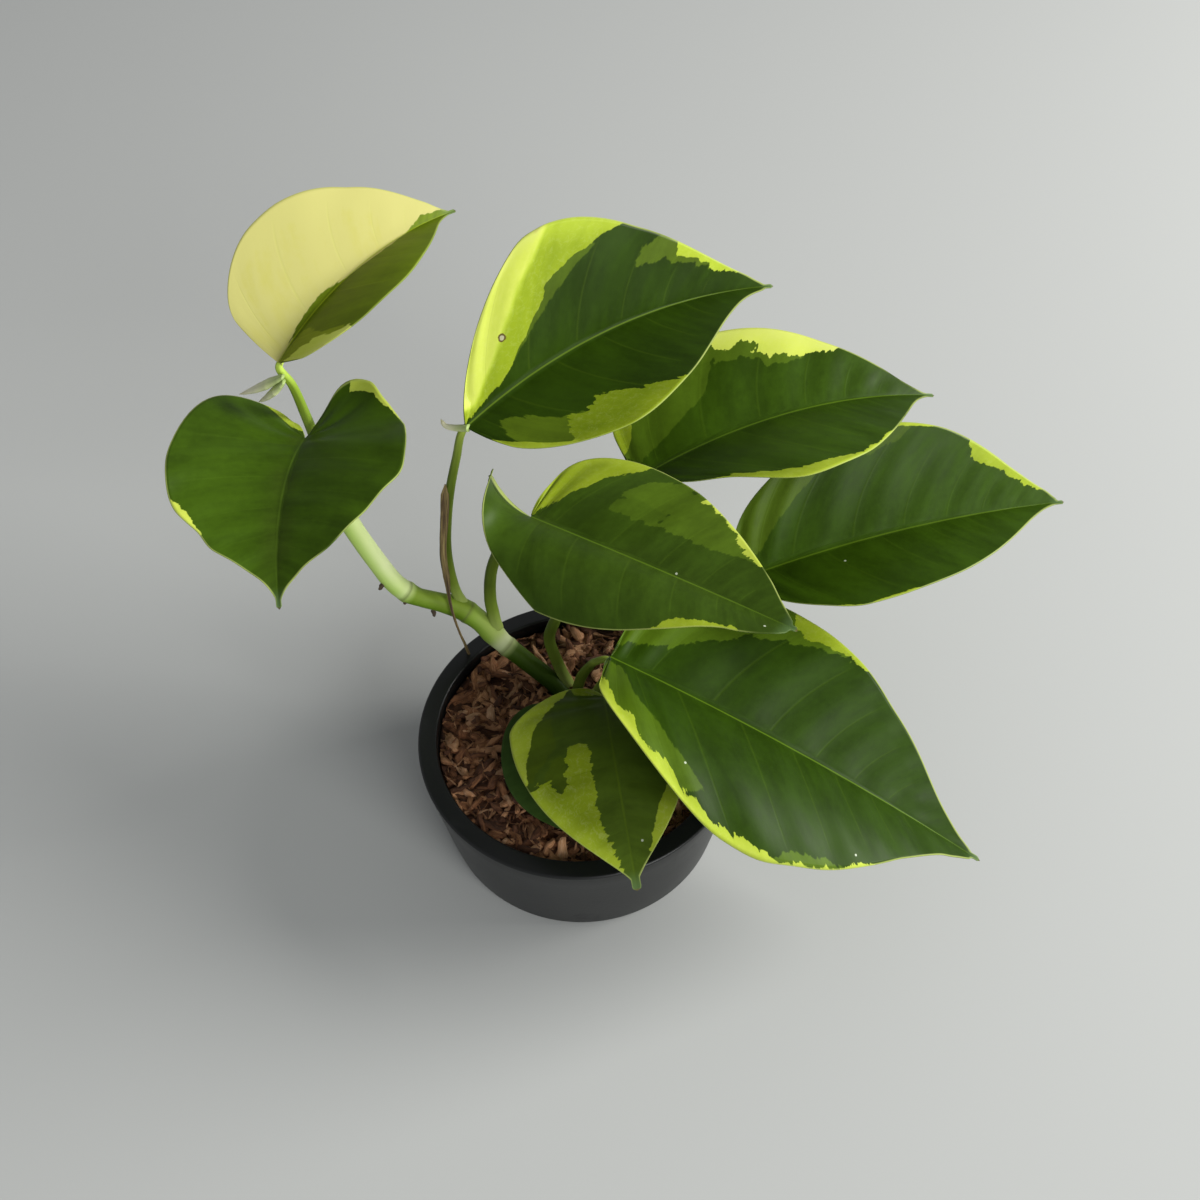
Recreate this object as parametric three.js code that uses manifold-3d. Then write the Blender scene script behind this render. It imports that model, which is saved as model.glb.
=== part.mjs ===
// Potted whipple way philodendron: a climbing stem with nine leaves in a low pot of coconut husk chips.
// Millimetres and degrees. +Z is up, the pot stands on z = 0 and its axis is the origin.
import * as THREE from "three";
import { mergeVertices } from "three/addons/utils/BufferGeometryUtils.js";
import Module from "manifold-3d";

// Pot
const POT_RIM_RADIUS = 60;
const POT_HEIGHT = 52;
const POT_LIP_WIDTH = 7;
const POT_LIP_DEPTH = 6;
const POT_WALL = 3.2;
const POT_FLOOR = 3.5;
const POT_BASE_RADIUS = 54;
const POT_FOOT_ROUND = 3;
const POT_EDGE_ROUND = 1;
const POT_SIDES = 56;

// Medium: a bed that rises towards the lip, and husk chips lying tilted in its top
const MEDIUM_TOP = 45;
const MEDIUM_EDGE_RISE = 2;
const MEDIUM_SIDES = 32;
const CHIP_COUNT = 32;
const CHIP_LENGTH = 14;
const CHIP_WIDTH = 9;
const CHIP_THICKNESS = 5;
const CHIP_TILT = 22;
const CHIP_RISE = 1.8;
const CHIP_MARGIN = 8;
const CHIP_SEED = 11;
const GOLDEN_TURN = 2.4;

// Clearances between pieces
const GAP = 0.35;
const STEM_SOCKET_GAP = 0.4;

// Stem: points along its axis and its radius at each, from inside the medium to the top node
const STEM_SIDES = 12;
const STEM_STEPS = 34;
const STEM_PATH = [
  { at: [-2, 17.5, 26], radius: 3.4 },
  { at: [-4.5, 20.3, 38], radius: 3.5 },
  { at: [-9.5, 24, 47], radius: 3.6 },
  { at: [-19, 29, 54], radius: 3.6 },
  { at: [-29, 33.6, 62], radius: 3.8 },
  { at: [-32.5, 35.6, 65.5], radius: 4.4 },
  { at: [-37, 38, 70], radius: 4 },
  { at: [-44, 40, 75.5], radius: 4.3 },
  { at: [-51, 39.8, 79.5], radius: 3.6 },
  { at: [-58.5, 39, 84], radius: 3.4 },
  { at: [-62, 38.8, 87], radius: 3.9 },
  { at: [-66, 39, 92], radius: 3.7 },
  { at: [-71, 40.4, 103], radius: 3.6 },
  { at: [-77, 42, 120], radius: 3.5 },
  { at: [-80.5, 43.4, 134], radius: 3.5 },
  { at: [-81.6, 44, 142], radius: 3.9 },
  { at: [-82, 44.3, 147], radius: 2.4 },
];

// Blades: thickness, and rows along the margin of each half from the lobe to the tip
const BLADE_THICKNESS = 0.7;
const ROWS_LOBE = 4;
const ROWS_SHOULDER = 5;
const ROWS_TIP = 9;
const COLUMNS = 4;
const MIDRIB_STEPS = 12;

// Each leaf: base is where the petiole meets the blade, pairs are [left half, right half] seen from
// the base. heading turns from +X towards +Y, pitch lifts the base end, droop and sickle are the turn
// down and sideways over the whole length, twist is the roll gained, fold lifts each half and curl is
// the turn it gains to its margin. lobe is how far the blade reaches behind the base, rear how wide it
// is there and widest where it is broadest, with shoulder, full and tip shaping the margin between, all
// in shares of the length or of the half width. lift turns the lobes up.
const LEAVES = {
  leaf_1: {
    base: [-88, 47, 190], length: 80, half: [29, 26.5], heading: 52, pitch: 30, roll: 10, twist: 15,
    droop: 39, sickle: -10, fold: [22, 45], curl: [4, -20], lobe: [-0.03, -0.03], rear: [0.45, 0.45],
    widest: [0.32, 0.32], shoulder: [0.4, 0.4], full: 0.65, tip: 0.11, lift: [0, 0],
  },
  leaf_2: {
    base: [-82.3, 34.7, 170], length: 64.5, half: [37, 34], heading: -98, pitch: 18, roll: 3, twist: 1,
    droop: 51, sickle: 15, fold: [15, 12], curl: [-12, 20], lobe: [0.4, 0.2], rear: [0.45, 0.45],
    widest: [0.26, 0.29], shoulder: [0.4, 0.7], full: 0.64, tip: 0.18, lift: [32, -10],
  },
  leaf_3: {
    base: [-32.5, 40, 168], length: 130, half: [40, 40], heading: 45, pitch: 12, roll: 33, twist: -6,
    droop: 27, sickle: -21, fold: [40, 26], curl: [-10, 12], lobe: [-0.05, -0.02], rear: [0.2, 0.3],
    widest: [0.34, 0.32], shoulder: [0.3, 0.4], full: 0.45, tip: 0.12, lift: [0, 0],
  },
  leaf_4: {
    base: [22.7, 57, 125], length: 121.5, half: [40, 41], heading: 25, pitch: 17, roll: -6, twist: 15,
    droop: 34, sickle: -11, fold: [18, 24], curl: [7, -15], lobe: [-0.01, -0.08], rear: [0.4, 0.3],
    widest: [0.27, 0.39], shoulder: [0.5, 0.3], full: 0.58, tip: 0.09, lift: [0, 0],
  },
  leaf_5: {
    base: [59.7, 31.6, 99.5], length: 126, half: [40, 33.5], heading: 15, pitch: 11.5, roll: 9.5,
    twist: 9, droop: 20, sickle: -2, fold: [23, 31], curl: [19, -11], lobe: [-0.02, -0.04],
    rear: [0.3, 0.4], widest: [0.37, 0.27], shoulder: [0.3, 0.4], full: 0.61, tip: 0.08, lift: [0, 0],
  },
  leaf_6: {
    base: [-13.9, 33.9, 132], length: 98, half: [38.5, 34.2], heading: -32, pitch: 3, roll: -6, twist: 2,
    droop: 5, sickle: 1, fold: [18, 27.6], curl: [-18, -82], lobe: [0.02, 0.32], rear: [0.5, 0.13],
    widest: [0.26, 0.22], shoulder: [0.6, 0.06], full: 0.55, tip: 0.08, lift: [0, 101],
  },
  leaf_7: {
    base: [11.7, 0.3, 97], length: 147.5, half: [47.5, 50], heading: -22, pitch: -15, roll: -14,
    twist: 15, droop: 11, sickle: -2, fold: [15, 29], curl: [5, -50], lobe: [-0.01, 0.01],
    rear: [0.45, 0.45], widest: [0.29, 0.37], shoulder: [0.6, 0.3], full: 0.64, tip: 0.12, lift: [0, 0],
  },
  leaf_8: {
    base: [9.3, 0, 73], length: 77, half: [26, 34.6], heading: -85, pitch: 21, roll: 4, twist: 4,
    droop: 41, sickle: 4, fold: [2, 6], curl: [-8, -2], lobe: [0.05, 0.08], rear: [0.5, 0.3],
    widest: [0.25, 0.21], shoulder: [0.6, 0.3], full: 0.63, tip: 0.08, lift: [0, 0],
  },
  leaf_9: {
    base: [4, -0.8, 58], length: 46.5, half: [26, 30], heading: -102, pitch: 1.5, roll: 2, twist: 4,
    droop: 19, sickle: 19, fold: [12, 10], curl: [-12, -4], lobe: [0.05, 0.09], rear: [0.5, 0.4],
    widest: [0.27, 0.27], shoulder: [0.6, 0.6], full: 0.8, tip: 0.08, lift: [0, 0],
  },
};

// Petioles: points from the stem up to a little short of the leaf, where each one ends by itself
const PETIOLE_SIDES = 8;
const PETIOLE_STEPS = 14;
const PETIOLE_END_RADIUS = 1.3;
const PETIOLES = {
  petiole_1: {
    leaf: "leaf_1", radius: 1.8,
    path: [[-82.3, 45.2, 148.4], [-83, 46.4, 158], [-84.1, 46.6, 170], [-85.6, 46.4, 182]],
  },
  petiole_2: {
    leaf: "leaf_2", radius: 1.8,
    path: [[-82, 39.2, 143], [-83, 34.5, 150], [-83.2, 33.3, 160]],
  },
  petiole_3: {
    leaf: "leaf_3", radius: 1.9,
    path: [[-44.6, 41.8, 82], [-45.8, 42.8, 90], [-46, 43.6, 105], [-44.1, 43.8, 121],
      [-41.3, 43.6, 136], [-37.4, 42.6, 152]],
  },
  petiole_4: {
    leaf: "leaf_4", radius: 1.9,
    path: [[-4.6, 24.6, 51], [-9.3, 28.4, 61], [-10.6, 29.6, 70], [-7.7, 30.6, 80], [1, 38, 96],
      [12, 48, 110]],
  },
  petiole_5: {
    leaf: "leaf_5", radius: 1.9,
    path: [[4.6, 17.5, 44.5], [13, 21, 60], [29, 34, 75], [42, 45, 86], [52, 41, 93]],
  },
  petiole_6: {
    leaf: "leaf_6", radius: 2.3,
    path: [[-31.6, 38.6, 73.4], [-32.2, 39.8, 81], [-30.4, 40.4, 97], [-25, 39, 113]],
  },
  petiole_7: {
    leaf: "leaf_7", radius: 2.1,
    path: [[0.4, 16.4, 42], [-0.6, 12.5, 56], [1, 9, 72], [5, 5, 86]],
  },
  petiole_8: {
    leaf: "leaf_8", radius: 1.9,
    path: [[4.4, 11.4, 42], [7.6, 7, 52], [9.4, 4, 63]],
  },
  petiole_9: {
    leaf: "leaf_9", radius: 1.7,
    path: [[-3.4, 9.4, 42], [-1.4, 6, 48], [2, 3, 53]],
  },
};

// Dry sheath beside the petiole of leaf 3, crossing in front of the stem and hanging to the pot
const DRY_SHEATH = {
  radius: 0.8, sides: 6, steps: 26,
  path: [[-43.2, 41.6, 138], [-45.7, 41.2, 121], [-47.4, 41.1, 105], [-47.6, 39.6, 92],
    [-47.4, 35.8, 84], [-45.6, 33, 77], [-44.6, 33.2, 69], [-43.8, 35, 60], [-43, 36, 53.6]],
};

// Pale sheath around the newest leaf's petiole: two pointed blades, each from root to tip, hollowed
// along the middle by the keel and widening to their full width at the shoulder
const TIP_SHEATH = {
  thickness: 0.8, width: 3.4, keel: 0.8, rows: [0, 0.25, 0.55, 0.8, 1], neck: 0.75,
  blades: [
    { root: [-87.4, 42.6, 186.2], tip: [-102.6, 46, 178.6] },
    { root: [-87.1, 42.3, 185.6], tip: [-96.4, 43.4, 177.6] },
  ],
};

const LOOKS = {
  pot: { color: 0x24272a, roughness: 0.62 },
  medium: { color: 0x6b3f2a, roughness: 0.95 },
  stem: { color: 0x8fae52, roughness: 0.5 },
  petiole: { color: 0x7c9c40, roughness: 0.5 },
  leaf: { color: 0x2f5a1c, roughness: 0.4 },
  paleLeaf: { color: 0xd9da7c, roughness: 0.45 },
  dry: { color: 0x5a4027, roughness: 0.9 },
  tip: { color: 0xe4e6bd, roughness: 0.6 },
};

const wasm = await Module();
wasm.setup();

const radians = THREE.MathUtils.degToRad;
const vector = (p) => new THREE.Vector3(...p);

function seeded(seed) {
  let state = seed;
  return () => {
    state = (state * 16807) % 2147483647;
    return state / 2147483647;
  };
}

function bezier(p0, p1, p2, p3, t) {
  const s = 1 - t;
  return [0, 1].map(
    (k) => s ** 3 * p0[k] + 3 * s * s * t * p1[k] + 3 * s * t * t * p2[k] + t ** 3 * p3[k],
  );
}

// Margin of one half as rows of [share of length, share of half width, foot of the row on the midrib],
// from just beside the base round to the tip.
function margin(leaf, k) {
  const lobe = leaf.lobe[k];
  const widest = leaf.widest[k];
  const reach = leaf.shoulder[k];
  const rear = leaf.rear[k];
  const back = [-lobe, rear];
  const broad = [widest, 1];
  const foot = widest * 0.35;
  const rows = [];
  for (let i = 1; i <= ROWS_LOBE; i += 1) {
    const t = i / (ROWS_LOBE + 1);
    rows.push([...bezier([0, 0], [-lobe * 0.75, 0.06], [-lobe, 0.45 * rear], back, t), 0]);
  }
  for (let i = 0; i < ROWS_SHOULDER; i += 1) {
    const t = i / ROWS_SHOULDER;
    const out = [-lobe, rear + (1 - rear) * reach];
    const p = bezier(back, out, [widest - (widest + lobe) * reach, 1], broad, t);
    rows.push([...p, foot * t * t]);
  }
  for (let i = 0; i <= ROWS_TIP; i += 1) {
    const t = i / ROWS_TIP;
    const out = [widest + (1 - widest) * leaf.full, 1];
    const p = bezier(broad, out, [1 - leaf.tip * 1.6, leaf.tip * 0.35], [1, 0], t);
    rows.push([...p, p[0] - (widest - foot) * (1 - t)]);
  }
  return rows;
}

// Frame of the midrib at share x of the length: its direction, the side towards the left half, the normal.
function midribFrame(leaf, k, x) {
  const heading = radians(leaf.heading + leaf.sickle * x);
  const bend = x > 0 ? -leaf.droop * x : leaf.lift[k] * 4 * x;
  const pitch = radians(leaf.pitch + bend);
  const along = new THREE.Vector3(
    Math.cos(pitch) * Math.cos(heading),
    Math.cos(pitch) * Math.sin(heading),
    Math.sin(pitch),
  );
  const side = new THREE.Vector3(-Math.sin(heading), Math.cos(heading), 0);
  side.applyAxisAngle(along, radians(leaf.roll + leaf.twist * x));
  return { along, side, normal: new THREE.Vector3().crossVectors(along, side) };
}

// Point and normal of the blade at share x of the length and share w of the half width.
function bladePoint(leaf, k, x, w) {
  const point = vector(leaf.base);
  for (let i = 0; i < MIDRIB_STEPS; i += 1) {
    const { along } = midribFrame(leaf, k, (x * (i + 0.5)) / MIDRIB_STEPS);
    point.addScaledVector(along, (x * leaf.length) / MIDRIB_STEPS);
  }
  const { side, normal } = midribFrame(leaf, k, x);
  const fold = radians(leaf.fold[k]);
  const curl = radians(leaf.curl[k]);
  const turned = fold + curl * w;
  const outwards = (leaf.half[k] * (Math.sin(turned) - Math.sin(fold))) / curl;
  const upwards = (leaf.half[k] * (Math.cos(fold) - Math.cos(turned))) / curl;
  const sign = k === 0 ? 1 : -1;
  point.addScaledVector(side, sign * outwards).addScaledVector(normal, upwards);
  const facing = side
    .clone()
    .multiplyScalar(-sign * Math.sin(turned))
    .addScaledVector(normal, Math.cos(turned));
  return { point, facing };
}

// Closed mesh from faces that share points, where points closer than a micrometre are one.
class Shell {
  constructor() {
    this.positions = [];
    this.index = [];
    this.known = new Map();
  }

  add(point) {
    const key = point.toArray().map((v) => Math.round(v * 1000)).join();
    if (!this.known.has(key)) {
      this.known.set(key, this.positions.length / 3);
      this.positions.push(...point.toArray());
    }
    return this.known.get(key);
  }

  triangle(a, b, c) {
    if (a !== b && b !== c && a !== c) this.index.push(a, b, c);
  }

  quad(a, b, c, d) {
    this.triangle(a, b, c);
    this.triangle(a, c, d);
  }

  geometry() {
    const made = new THREE.BufferGeometry();
    made.setAttribute("position", new THREE.Float32BufferAttribute(this.positions, 3));
    made.setIndex(this.index);
    return made;
  }
}

function blade(leaf) {
  const margins = [margin(leaf, 0), margin(leaf, 1)];
  const shell = new Shell();
  const rows = margins[0].map((_, i) => {
    const foot = (margins[0][i][2] + margins[1][i][2]) / 2;
    const row = [];
    for (let j = -COLUMNS; j <= COLUMNS; j += 1) {
      const k = j > 0 ? 0 : 1;
      const share = Math.abs(j) / COLUMNS;
      const x = foot + (margins[k][i][0] - foot) * share;
      const w = margins[k][i][1] * share;
      const { point, facing } = bladePoint(leaf, k, x, w);
      if (w === 0) facing.add(bladePoint(leaf, 1 - k, x, w).facing).normalize();
      row.push([BLADE_THICKNESS / 2, -BLADE_THICKNESS / 2].map((offset) =>
        shell.add(point.clone().addScaledVector(facing, offset)),
      ));
    }
    return row;
  });
  const last = 2 * COLUMNS;
  for (let i = 0; i + 1 < rows.length; i += 1) {
    const [near, far] = [rows[i], rows[i + 1]];
    for (let j = 0; j < last; j += 1) {
      shell.quad(near[j][0], far[j][0], far[j + 1][0], near[j + 1][0]);
      shell.quad(near[j][1], near[j + 1][1], far[j + 1][1], far[j][1]);
    }
    shell.quad(near[0][0], near[0][1], far[0][1], far[0][0]);
    shell.quad(near[last][0], far[last][0], far[last][1], near[last][1]);
  }
  for (let j = 0; j < last; j += 1) {
    shell.quad(rows[0][j][0], rows[0][j + 1][0], rows[0][j + 1][1], rows[0][j][1]);
  }
  return shell.geometry();
}

// Round bar along a smooth line through points, with a radius at each share of its length.
function bar(points, radiusAt, sides, steps) {
  const curve = new THREE.CatmullRomCurve3(points, false, "centripetal");
  const frames = curve.computeFrenetFrames(steps, false);
  const shell = new Shell();
  const rings = [];
  for (let i = 0; i <= steps; i += 1) {
    const centre = curve.getPointAt(i / steps);
    const radius = radiusAt(i / steps);
    const ring = [];
    for (let j = 0; j < sides; j += 1) {
      const turn = (2 * Math.PI * j) / sides;
      const rim = centre
        .clone()
        .addScaledVector(frames.normals[i], radius * Math.cos(turn))
        .addScaledVector(frames.binormals[i], radius * Math.sin(turn));
      ring.push(shell.add(rim));
    }
    rings.push(ring);
  }
  const ends = [shell.add(points[0]), shell.add(points[points.length - 1])];
  for (let j = 0; j < sides; j += 1) {
    const next = (j + 1) % sides;
    for (let i = 0; i < steps; i += 1) {
      shell.quad(rings[i][j], rings[i][next], rings[i + 1][next], rings[i + 1][j]);
    }
    shell.triangle(ends[0], rings[0][next], rings[0][j]);
    shell.triangle(ends[1], rings[steps][j], rings[steps][next]);
  }
  return shell.geometry();
}

function stem(extra = 0) {
  const points = STEM_PATH.map((p) => vector(p.at));
  const curve = new THREE.CatmullRomCurve3(points, false, "centripetal");
  const lengths = curve.getLengths(600);
  const total = lengths[600];
  const shares = points.map((_, i) => lengths[Math.round((600 * i) / (points.length - 1))] / total);
  const radiusAt = (share) => {
    const i = Math.max(1, shares.findIndex((s) => s >= share - 1e-9));
    const t = (share - shares[i - 1]) / (shares[i] - shares[i - 1]);
    return THREE.MathUtils.lerp(STEM_PATH[i - 1].radius, STEM_PATH[i].radius, t) + extra;
  };
  return bar(points, radiusAt, STEM_SIDES, STEM_STEPS);
}

// A petiole stops just behind and below the base of its blade.
function petiole({ leaf, radius, path }) {
  const blade = LEAVES[leaf];
  const { along, normal } = midribFrame(blade, 0, 0);
  const end = vector(blade.base).addScaledVector(along, -1.6).addScaledVector(normal, -2);
  const before = end.clone().addScaledVector(along, -2.4).addScaledVector(normal, -3.4);
  const points = [...path.map(vector), before, end];
  const radiusAt = (t) => THREE.MathUtils.lerp(radius, PETIOLE_END_RADIUS, t ** 0.8);
  return bar(points, radiusAt, PETIOLE_SIDES, PETIOLE_STEPS);
}

// Outer radius of the pot's tapered wall at a height.
function outerAt(z) {
  return POT_BASE_RADIUS + ((POT_RIM_RADIUS - POT_BASE_RADIUS) * z) / POT_HEIGHT;
}

function pot() {
  const inner = POT_RIM_RADIUS - POT_LIP_WIDTH;
  const under = POT_HEIGHT - POT_LIP_DEPTH;
  const foot = [0, 30, 60, 90].map(radians).map((turn) => [
    POT_BASE_RADIUS - POT_FOOT_ROUND * (1 - Math.sin(turn)),
    POT_FOOT_ROUND * (1 - Math.cos(turn)),
  ]);
  const profile = [
    [0, 0],
    ...foot,
    [POT_RIM_RADIUS, POT_HEIGHT - POT_EDGE_ROUND],
    [POT_RIM_RADIUS - 0.3 * POT_EDGE_ROUND, POT_HEIGHT - 0.3 * POT_EDGE_ROUND],
    [POT_RIM_RADIUS - POT_EDGE_ROUND, POT_HEIGHT],
    [inner + POT_EDGE_ROUND, POT_HEIGHT],
    [inner, POT_HEIGHT - POT_EDGE_ROUND],
    [inner, under],
    [outerAt(under - 3) - POT_WALL, under - 3],
    [outerAt(POT_FLOOR) - POT_WALL, POT_FLOOR],
    [0, POT_FLOOR],
  ];
  const lathe = new THREE.LatheGeometry(profile.map((p) => new THREE.Vector2(...p)), POT_SIDES);
  return lathe.rotateX(Math.PI / 2);
}

function toSolid(geometry) {
  const bare = new THREE.BufferGeometry();
  bare.setAttribute("position", geometry.attributes.position);
  bare.setIndex(geometry.index);
  const merged = mergeVertices(bare.index ? bare.toNonIndexed() : bare, 1e-3);
  return new wasm.Manifold(
    new wasm.Mesh({
      numProp: 3,
      vertProperties: merged.attributes.position.array,
      triVerts: new Uint32Array(merged.index.array),
    }),
  );
}

function fromSolid(solid) {
  const mesh = solid.getMesh();
  const made = new THREE.BufferGeometry();
  made.setAttribute("position", new THREE.BufferAttribute(mesh.vertProperties, 3));
  made.setIndex(new THREE.BufferAttribute(mesh.triVerts, 1));
  return made;
}

// Husk chips lie tilted in a bed that fills the pot, with plain holes for the stem and the petioles.
function medium(standing) {
  const inner = POT_RIM_RADIUS - POT_LIP_WIDTH - GAP;
  const under = POT_HEIGHT - POT_LIP_DEPTH;
  const bed = new THREE.LatheGeometry(
    [
      [0, POT_FLOOR + GAP],
      [outerAt(POT_FLOOR) - POT_WALL - 2 * GAP, POT_FLOOR + GAP],
      [outerAt(under - 3) - POT_WALL - 2 * GAP, under - 3 - GAP],
      [inner - GAP, under - GAP],
      [inner - GAP, MEDIUM_TOP + MEDIUM_EDGE_RISE],
      [inner - CHIP_MARGIN, MEDIUM_TOP + MEDIUM_EDGE_RISE / 2],
      [0, MEDIUM_TOP],
    ].map((p) => new THREE.Vector2(...p)),
    MEDIUM_SIDES,
  ).rotateX(Math.PI / 2);
  const random = seeded(CHIP_SEED);
  const solids = [toSolid(bed)];
  for (let i = 0; i < CHIP_COUNT; i += 1) {
    const reach = (inner - CHIP_MARGIN) * Math.sqrt((i + 0.5) / CHIP_COUNT);
    const around = i * GOLDEN_TURN;
    const size = 0.75 + 0.45 * random();
    const chip = new THREE.BoxGeometry(CHIP_LENGTH * size, CHIP_WIDTH * size, CHIP_THICKNESS);
    chip.rotateX(radians(CHIP_TILT * (2 * random() - 1)));
    chip.rotateY(radians(CHIP_TILT * (2 * random() - 1)));
    chip.rotateZ(2 * Math.PI * random());
    const height = MEDIUM_TOP + CHIP_RISE * random();
    chip.translate(reach * Math.cos(around), reach * Math.sin(around), height);
    solids.push(toSolid(chip));
  }
  const heap = wasm.Manifold.union(solids);
  const withinLip = new THREE.CylinderGeometry(inner, inner, 2 * POT_LIP_DEPTH, MEDIUM_SIDES);
  withinLip.rotateX(Math.PI / 2).translate(0, 0, MEDIUM_TOP + POT_LIP_DEPTH);
  const upper = heap.intersect(toSolid(withinLip));
  const lower = heap.trimByPlane([0, 0, -1], -MEDIUM_TOP);
  const filled = wasm.Manifold.union([upper, lower]).subtract(wasm.Manifold.union(standing));
  const [whole] = filled.decompose().sort((a, b) => b.volume() - a.volume());
  return fromSolid(whole);
}

// A pointed sheath blade, slightly hollow on top, as a thin closed piece.
function sheathBlade({ root, tip }) {
  const from = vector(root);
  const to = vector(tip);
  const along = to.clone().sub(from).normalize();
  const across = new THREE.Vector3(0, 0, 1).cross(along).normalize();
  const up = along.clone().cross(across);
  const shell = new Shell();
  const rows = TIP_SHEATH.rows.map((t) => {
    const half = (TIP_SHEATH.width / 2) * (t === 0 ? TIP_SHEATH.neck : Math.sqrt(1.02 - t));
    return [-1, 0, 1].map((s) => {
      const raised = TIP_SHEATH.keel * (Math.abs(s) - 0.5) * (1 - t);
      const middle = from.clone().lerp(to, t).addScaledVector(across, s * half);
      return [0.5, -0.5].map((o) =>
        shell.add(middle.clone().addScaledVector(up, o * TIP_SHEATH.thickness + raised)),
      );
    });
  });
  for (let i = 0; i + 1 < rows.length; i += 1) {
    const [near, far] = [rows[i], rows[i + 1]];
    for (let j = 0; j < 2; j += 1) {
      shell.quad(near[j][0], far[j][0], far[j + 1][0], near[j + 1][0]);
      shell.quad(near[j][1], near[j + 1][1], far[j + 1][1], far[j][1]);
    }
    shell.quad(near[0][0], near[0][1], far[0][1], far[0][0]);
    shell.quad(near[2][0], far[2][0], far[2][1], near[2][1]);
  }
  const [first, final] = [rows[0], rows[rows.length - 1]];
  for (let j = 0; j < 2; j += 1) {
    shell.quad(first[j][0], first[j + 1][0], first[j + 1][1], first[j][1]);
    shell.quad(final[j][0], final[j][1], final[j + 1][1], final[j + 1][0]);
  }
  return shell.geometry();
}

function drySheath() {
  const points = DRY_SHEATH.path.map(vector);
  return bar(points, () => DRY_SHEATH.radius, DRY_SHEATH.sides, DRY_SHEATH.steps);
}

const part = new THREE.Group();
part.name = "potted_whipple_way_philodendron";

function place(name, geometry, look) {
  geometry.computeVertexNormals();
  const mesh = new THREE.Mesh(geometry, new THREE.MeshStandardMaterial(look));
  mesh.name = name;
  part.add(mesh);
}

const petioleShapes = Object.entries(PETIOLES).map(([name, spec]) => [name, petiole(spec)]);
const holes = Object.values(PETIOLES).map((spec) =>
  toSolid(petiole({ ...spec, radius: spec.radius + STEM_SOCKET_GAP })),
);

place("pot", pot(), LOOKS.pot);
place("medium", medium([toSolid(stem(STEM_SOCKET_GAP)), ...holes]), LOOKS.medium);
place("stem", stem(), LOOKS.stem);
for (const [name, shape] of petioleShapes) place(name, shape, LOOKS.petiole);
for (const [name, leaf] of Object.entries(LEAVES)) {
  place(name, blade(leaf), name === "leaf_1" ? LOOKS.paleLeaf : LOOKS.leaf);
}
place("dry_sheath", drySheath(), LOOKS.dry);
const sheathParts = TIP_SHEATH.blades.map((b) => toSolid(sheathBlade(b)));
place("tip_sheath", fromSolid(wasm.Manifold.union(sheathParts)), LOOKS.tip);

export default part;
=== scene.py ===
"""Potted whipple way philodendron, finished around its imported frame.

Metres, +Z up, the pot's axis is the origin. Measures written in millimetres are turned by MM.
"""

import math

import bmesh
import bpy
import numpy as np
from mathutils import Matrix, Vector, noise


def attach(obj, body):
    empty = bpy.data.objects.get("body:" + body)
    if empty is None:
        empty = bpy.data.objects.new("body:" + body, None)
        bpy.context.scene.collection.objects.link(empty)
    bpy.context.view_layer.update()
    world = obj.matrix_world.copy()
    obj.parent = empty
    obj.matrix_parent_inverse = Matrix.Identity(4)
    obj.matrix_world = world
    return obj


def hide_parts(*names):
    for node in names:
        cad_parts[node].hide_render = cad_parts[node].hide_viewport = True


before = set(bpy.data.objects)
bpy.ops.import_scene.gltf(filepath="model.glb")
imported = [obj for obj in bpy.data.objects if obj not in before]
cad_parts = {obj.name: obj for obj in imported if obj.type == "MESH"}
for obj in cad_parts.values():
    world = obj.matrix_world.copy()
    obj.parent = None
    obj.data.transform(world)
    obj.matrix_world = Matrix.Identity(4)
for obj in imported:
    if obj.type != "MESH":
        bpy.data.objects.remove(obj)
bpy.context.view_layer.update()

MM = 0.001

# Camera: where it stands, how far it looks down and how far it is turned about its own view
CAMERA_PLACE = Vector((8.7, -239.9, 430.9)) * MM
CAMERA_DOWN = math.radians(51.54)
CAMERA_ROLL = math.radians(-1.33)
CAMERA_LENS = 36.0
CAMERA_SENSOR = 36.0
CAMERA_SIGHT = (0.01, 20.0)

# Floor disc, in metres
FLOOR_RADIUS = 3
FLOOR_SIDES = 48

# Pot and medium, in millimetres
RIM_RADIUS = 60.0
POT_HEIGHT = 52.0
LIP_WIDTH = 7.0
LIP_DEPTH = 6.0
POT_WALL = 3.2
POT_FLOOR = 3.5
BASE_RADIUS = 54.0
FOOT_ROUND = 3.0
EDGE_ROUND = 1.0
MEDIUM_TOP = 45.0
MEDIUM_REACH = 52.4

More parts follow.
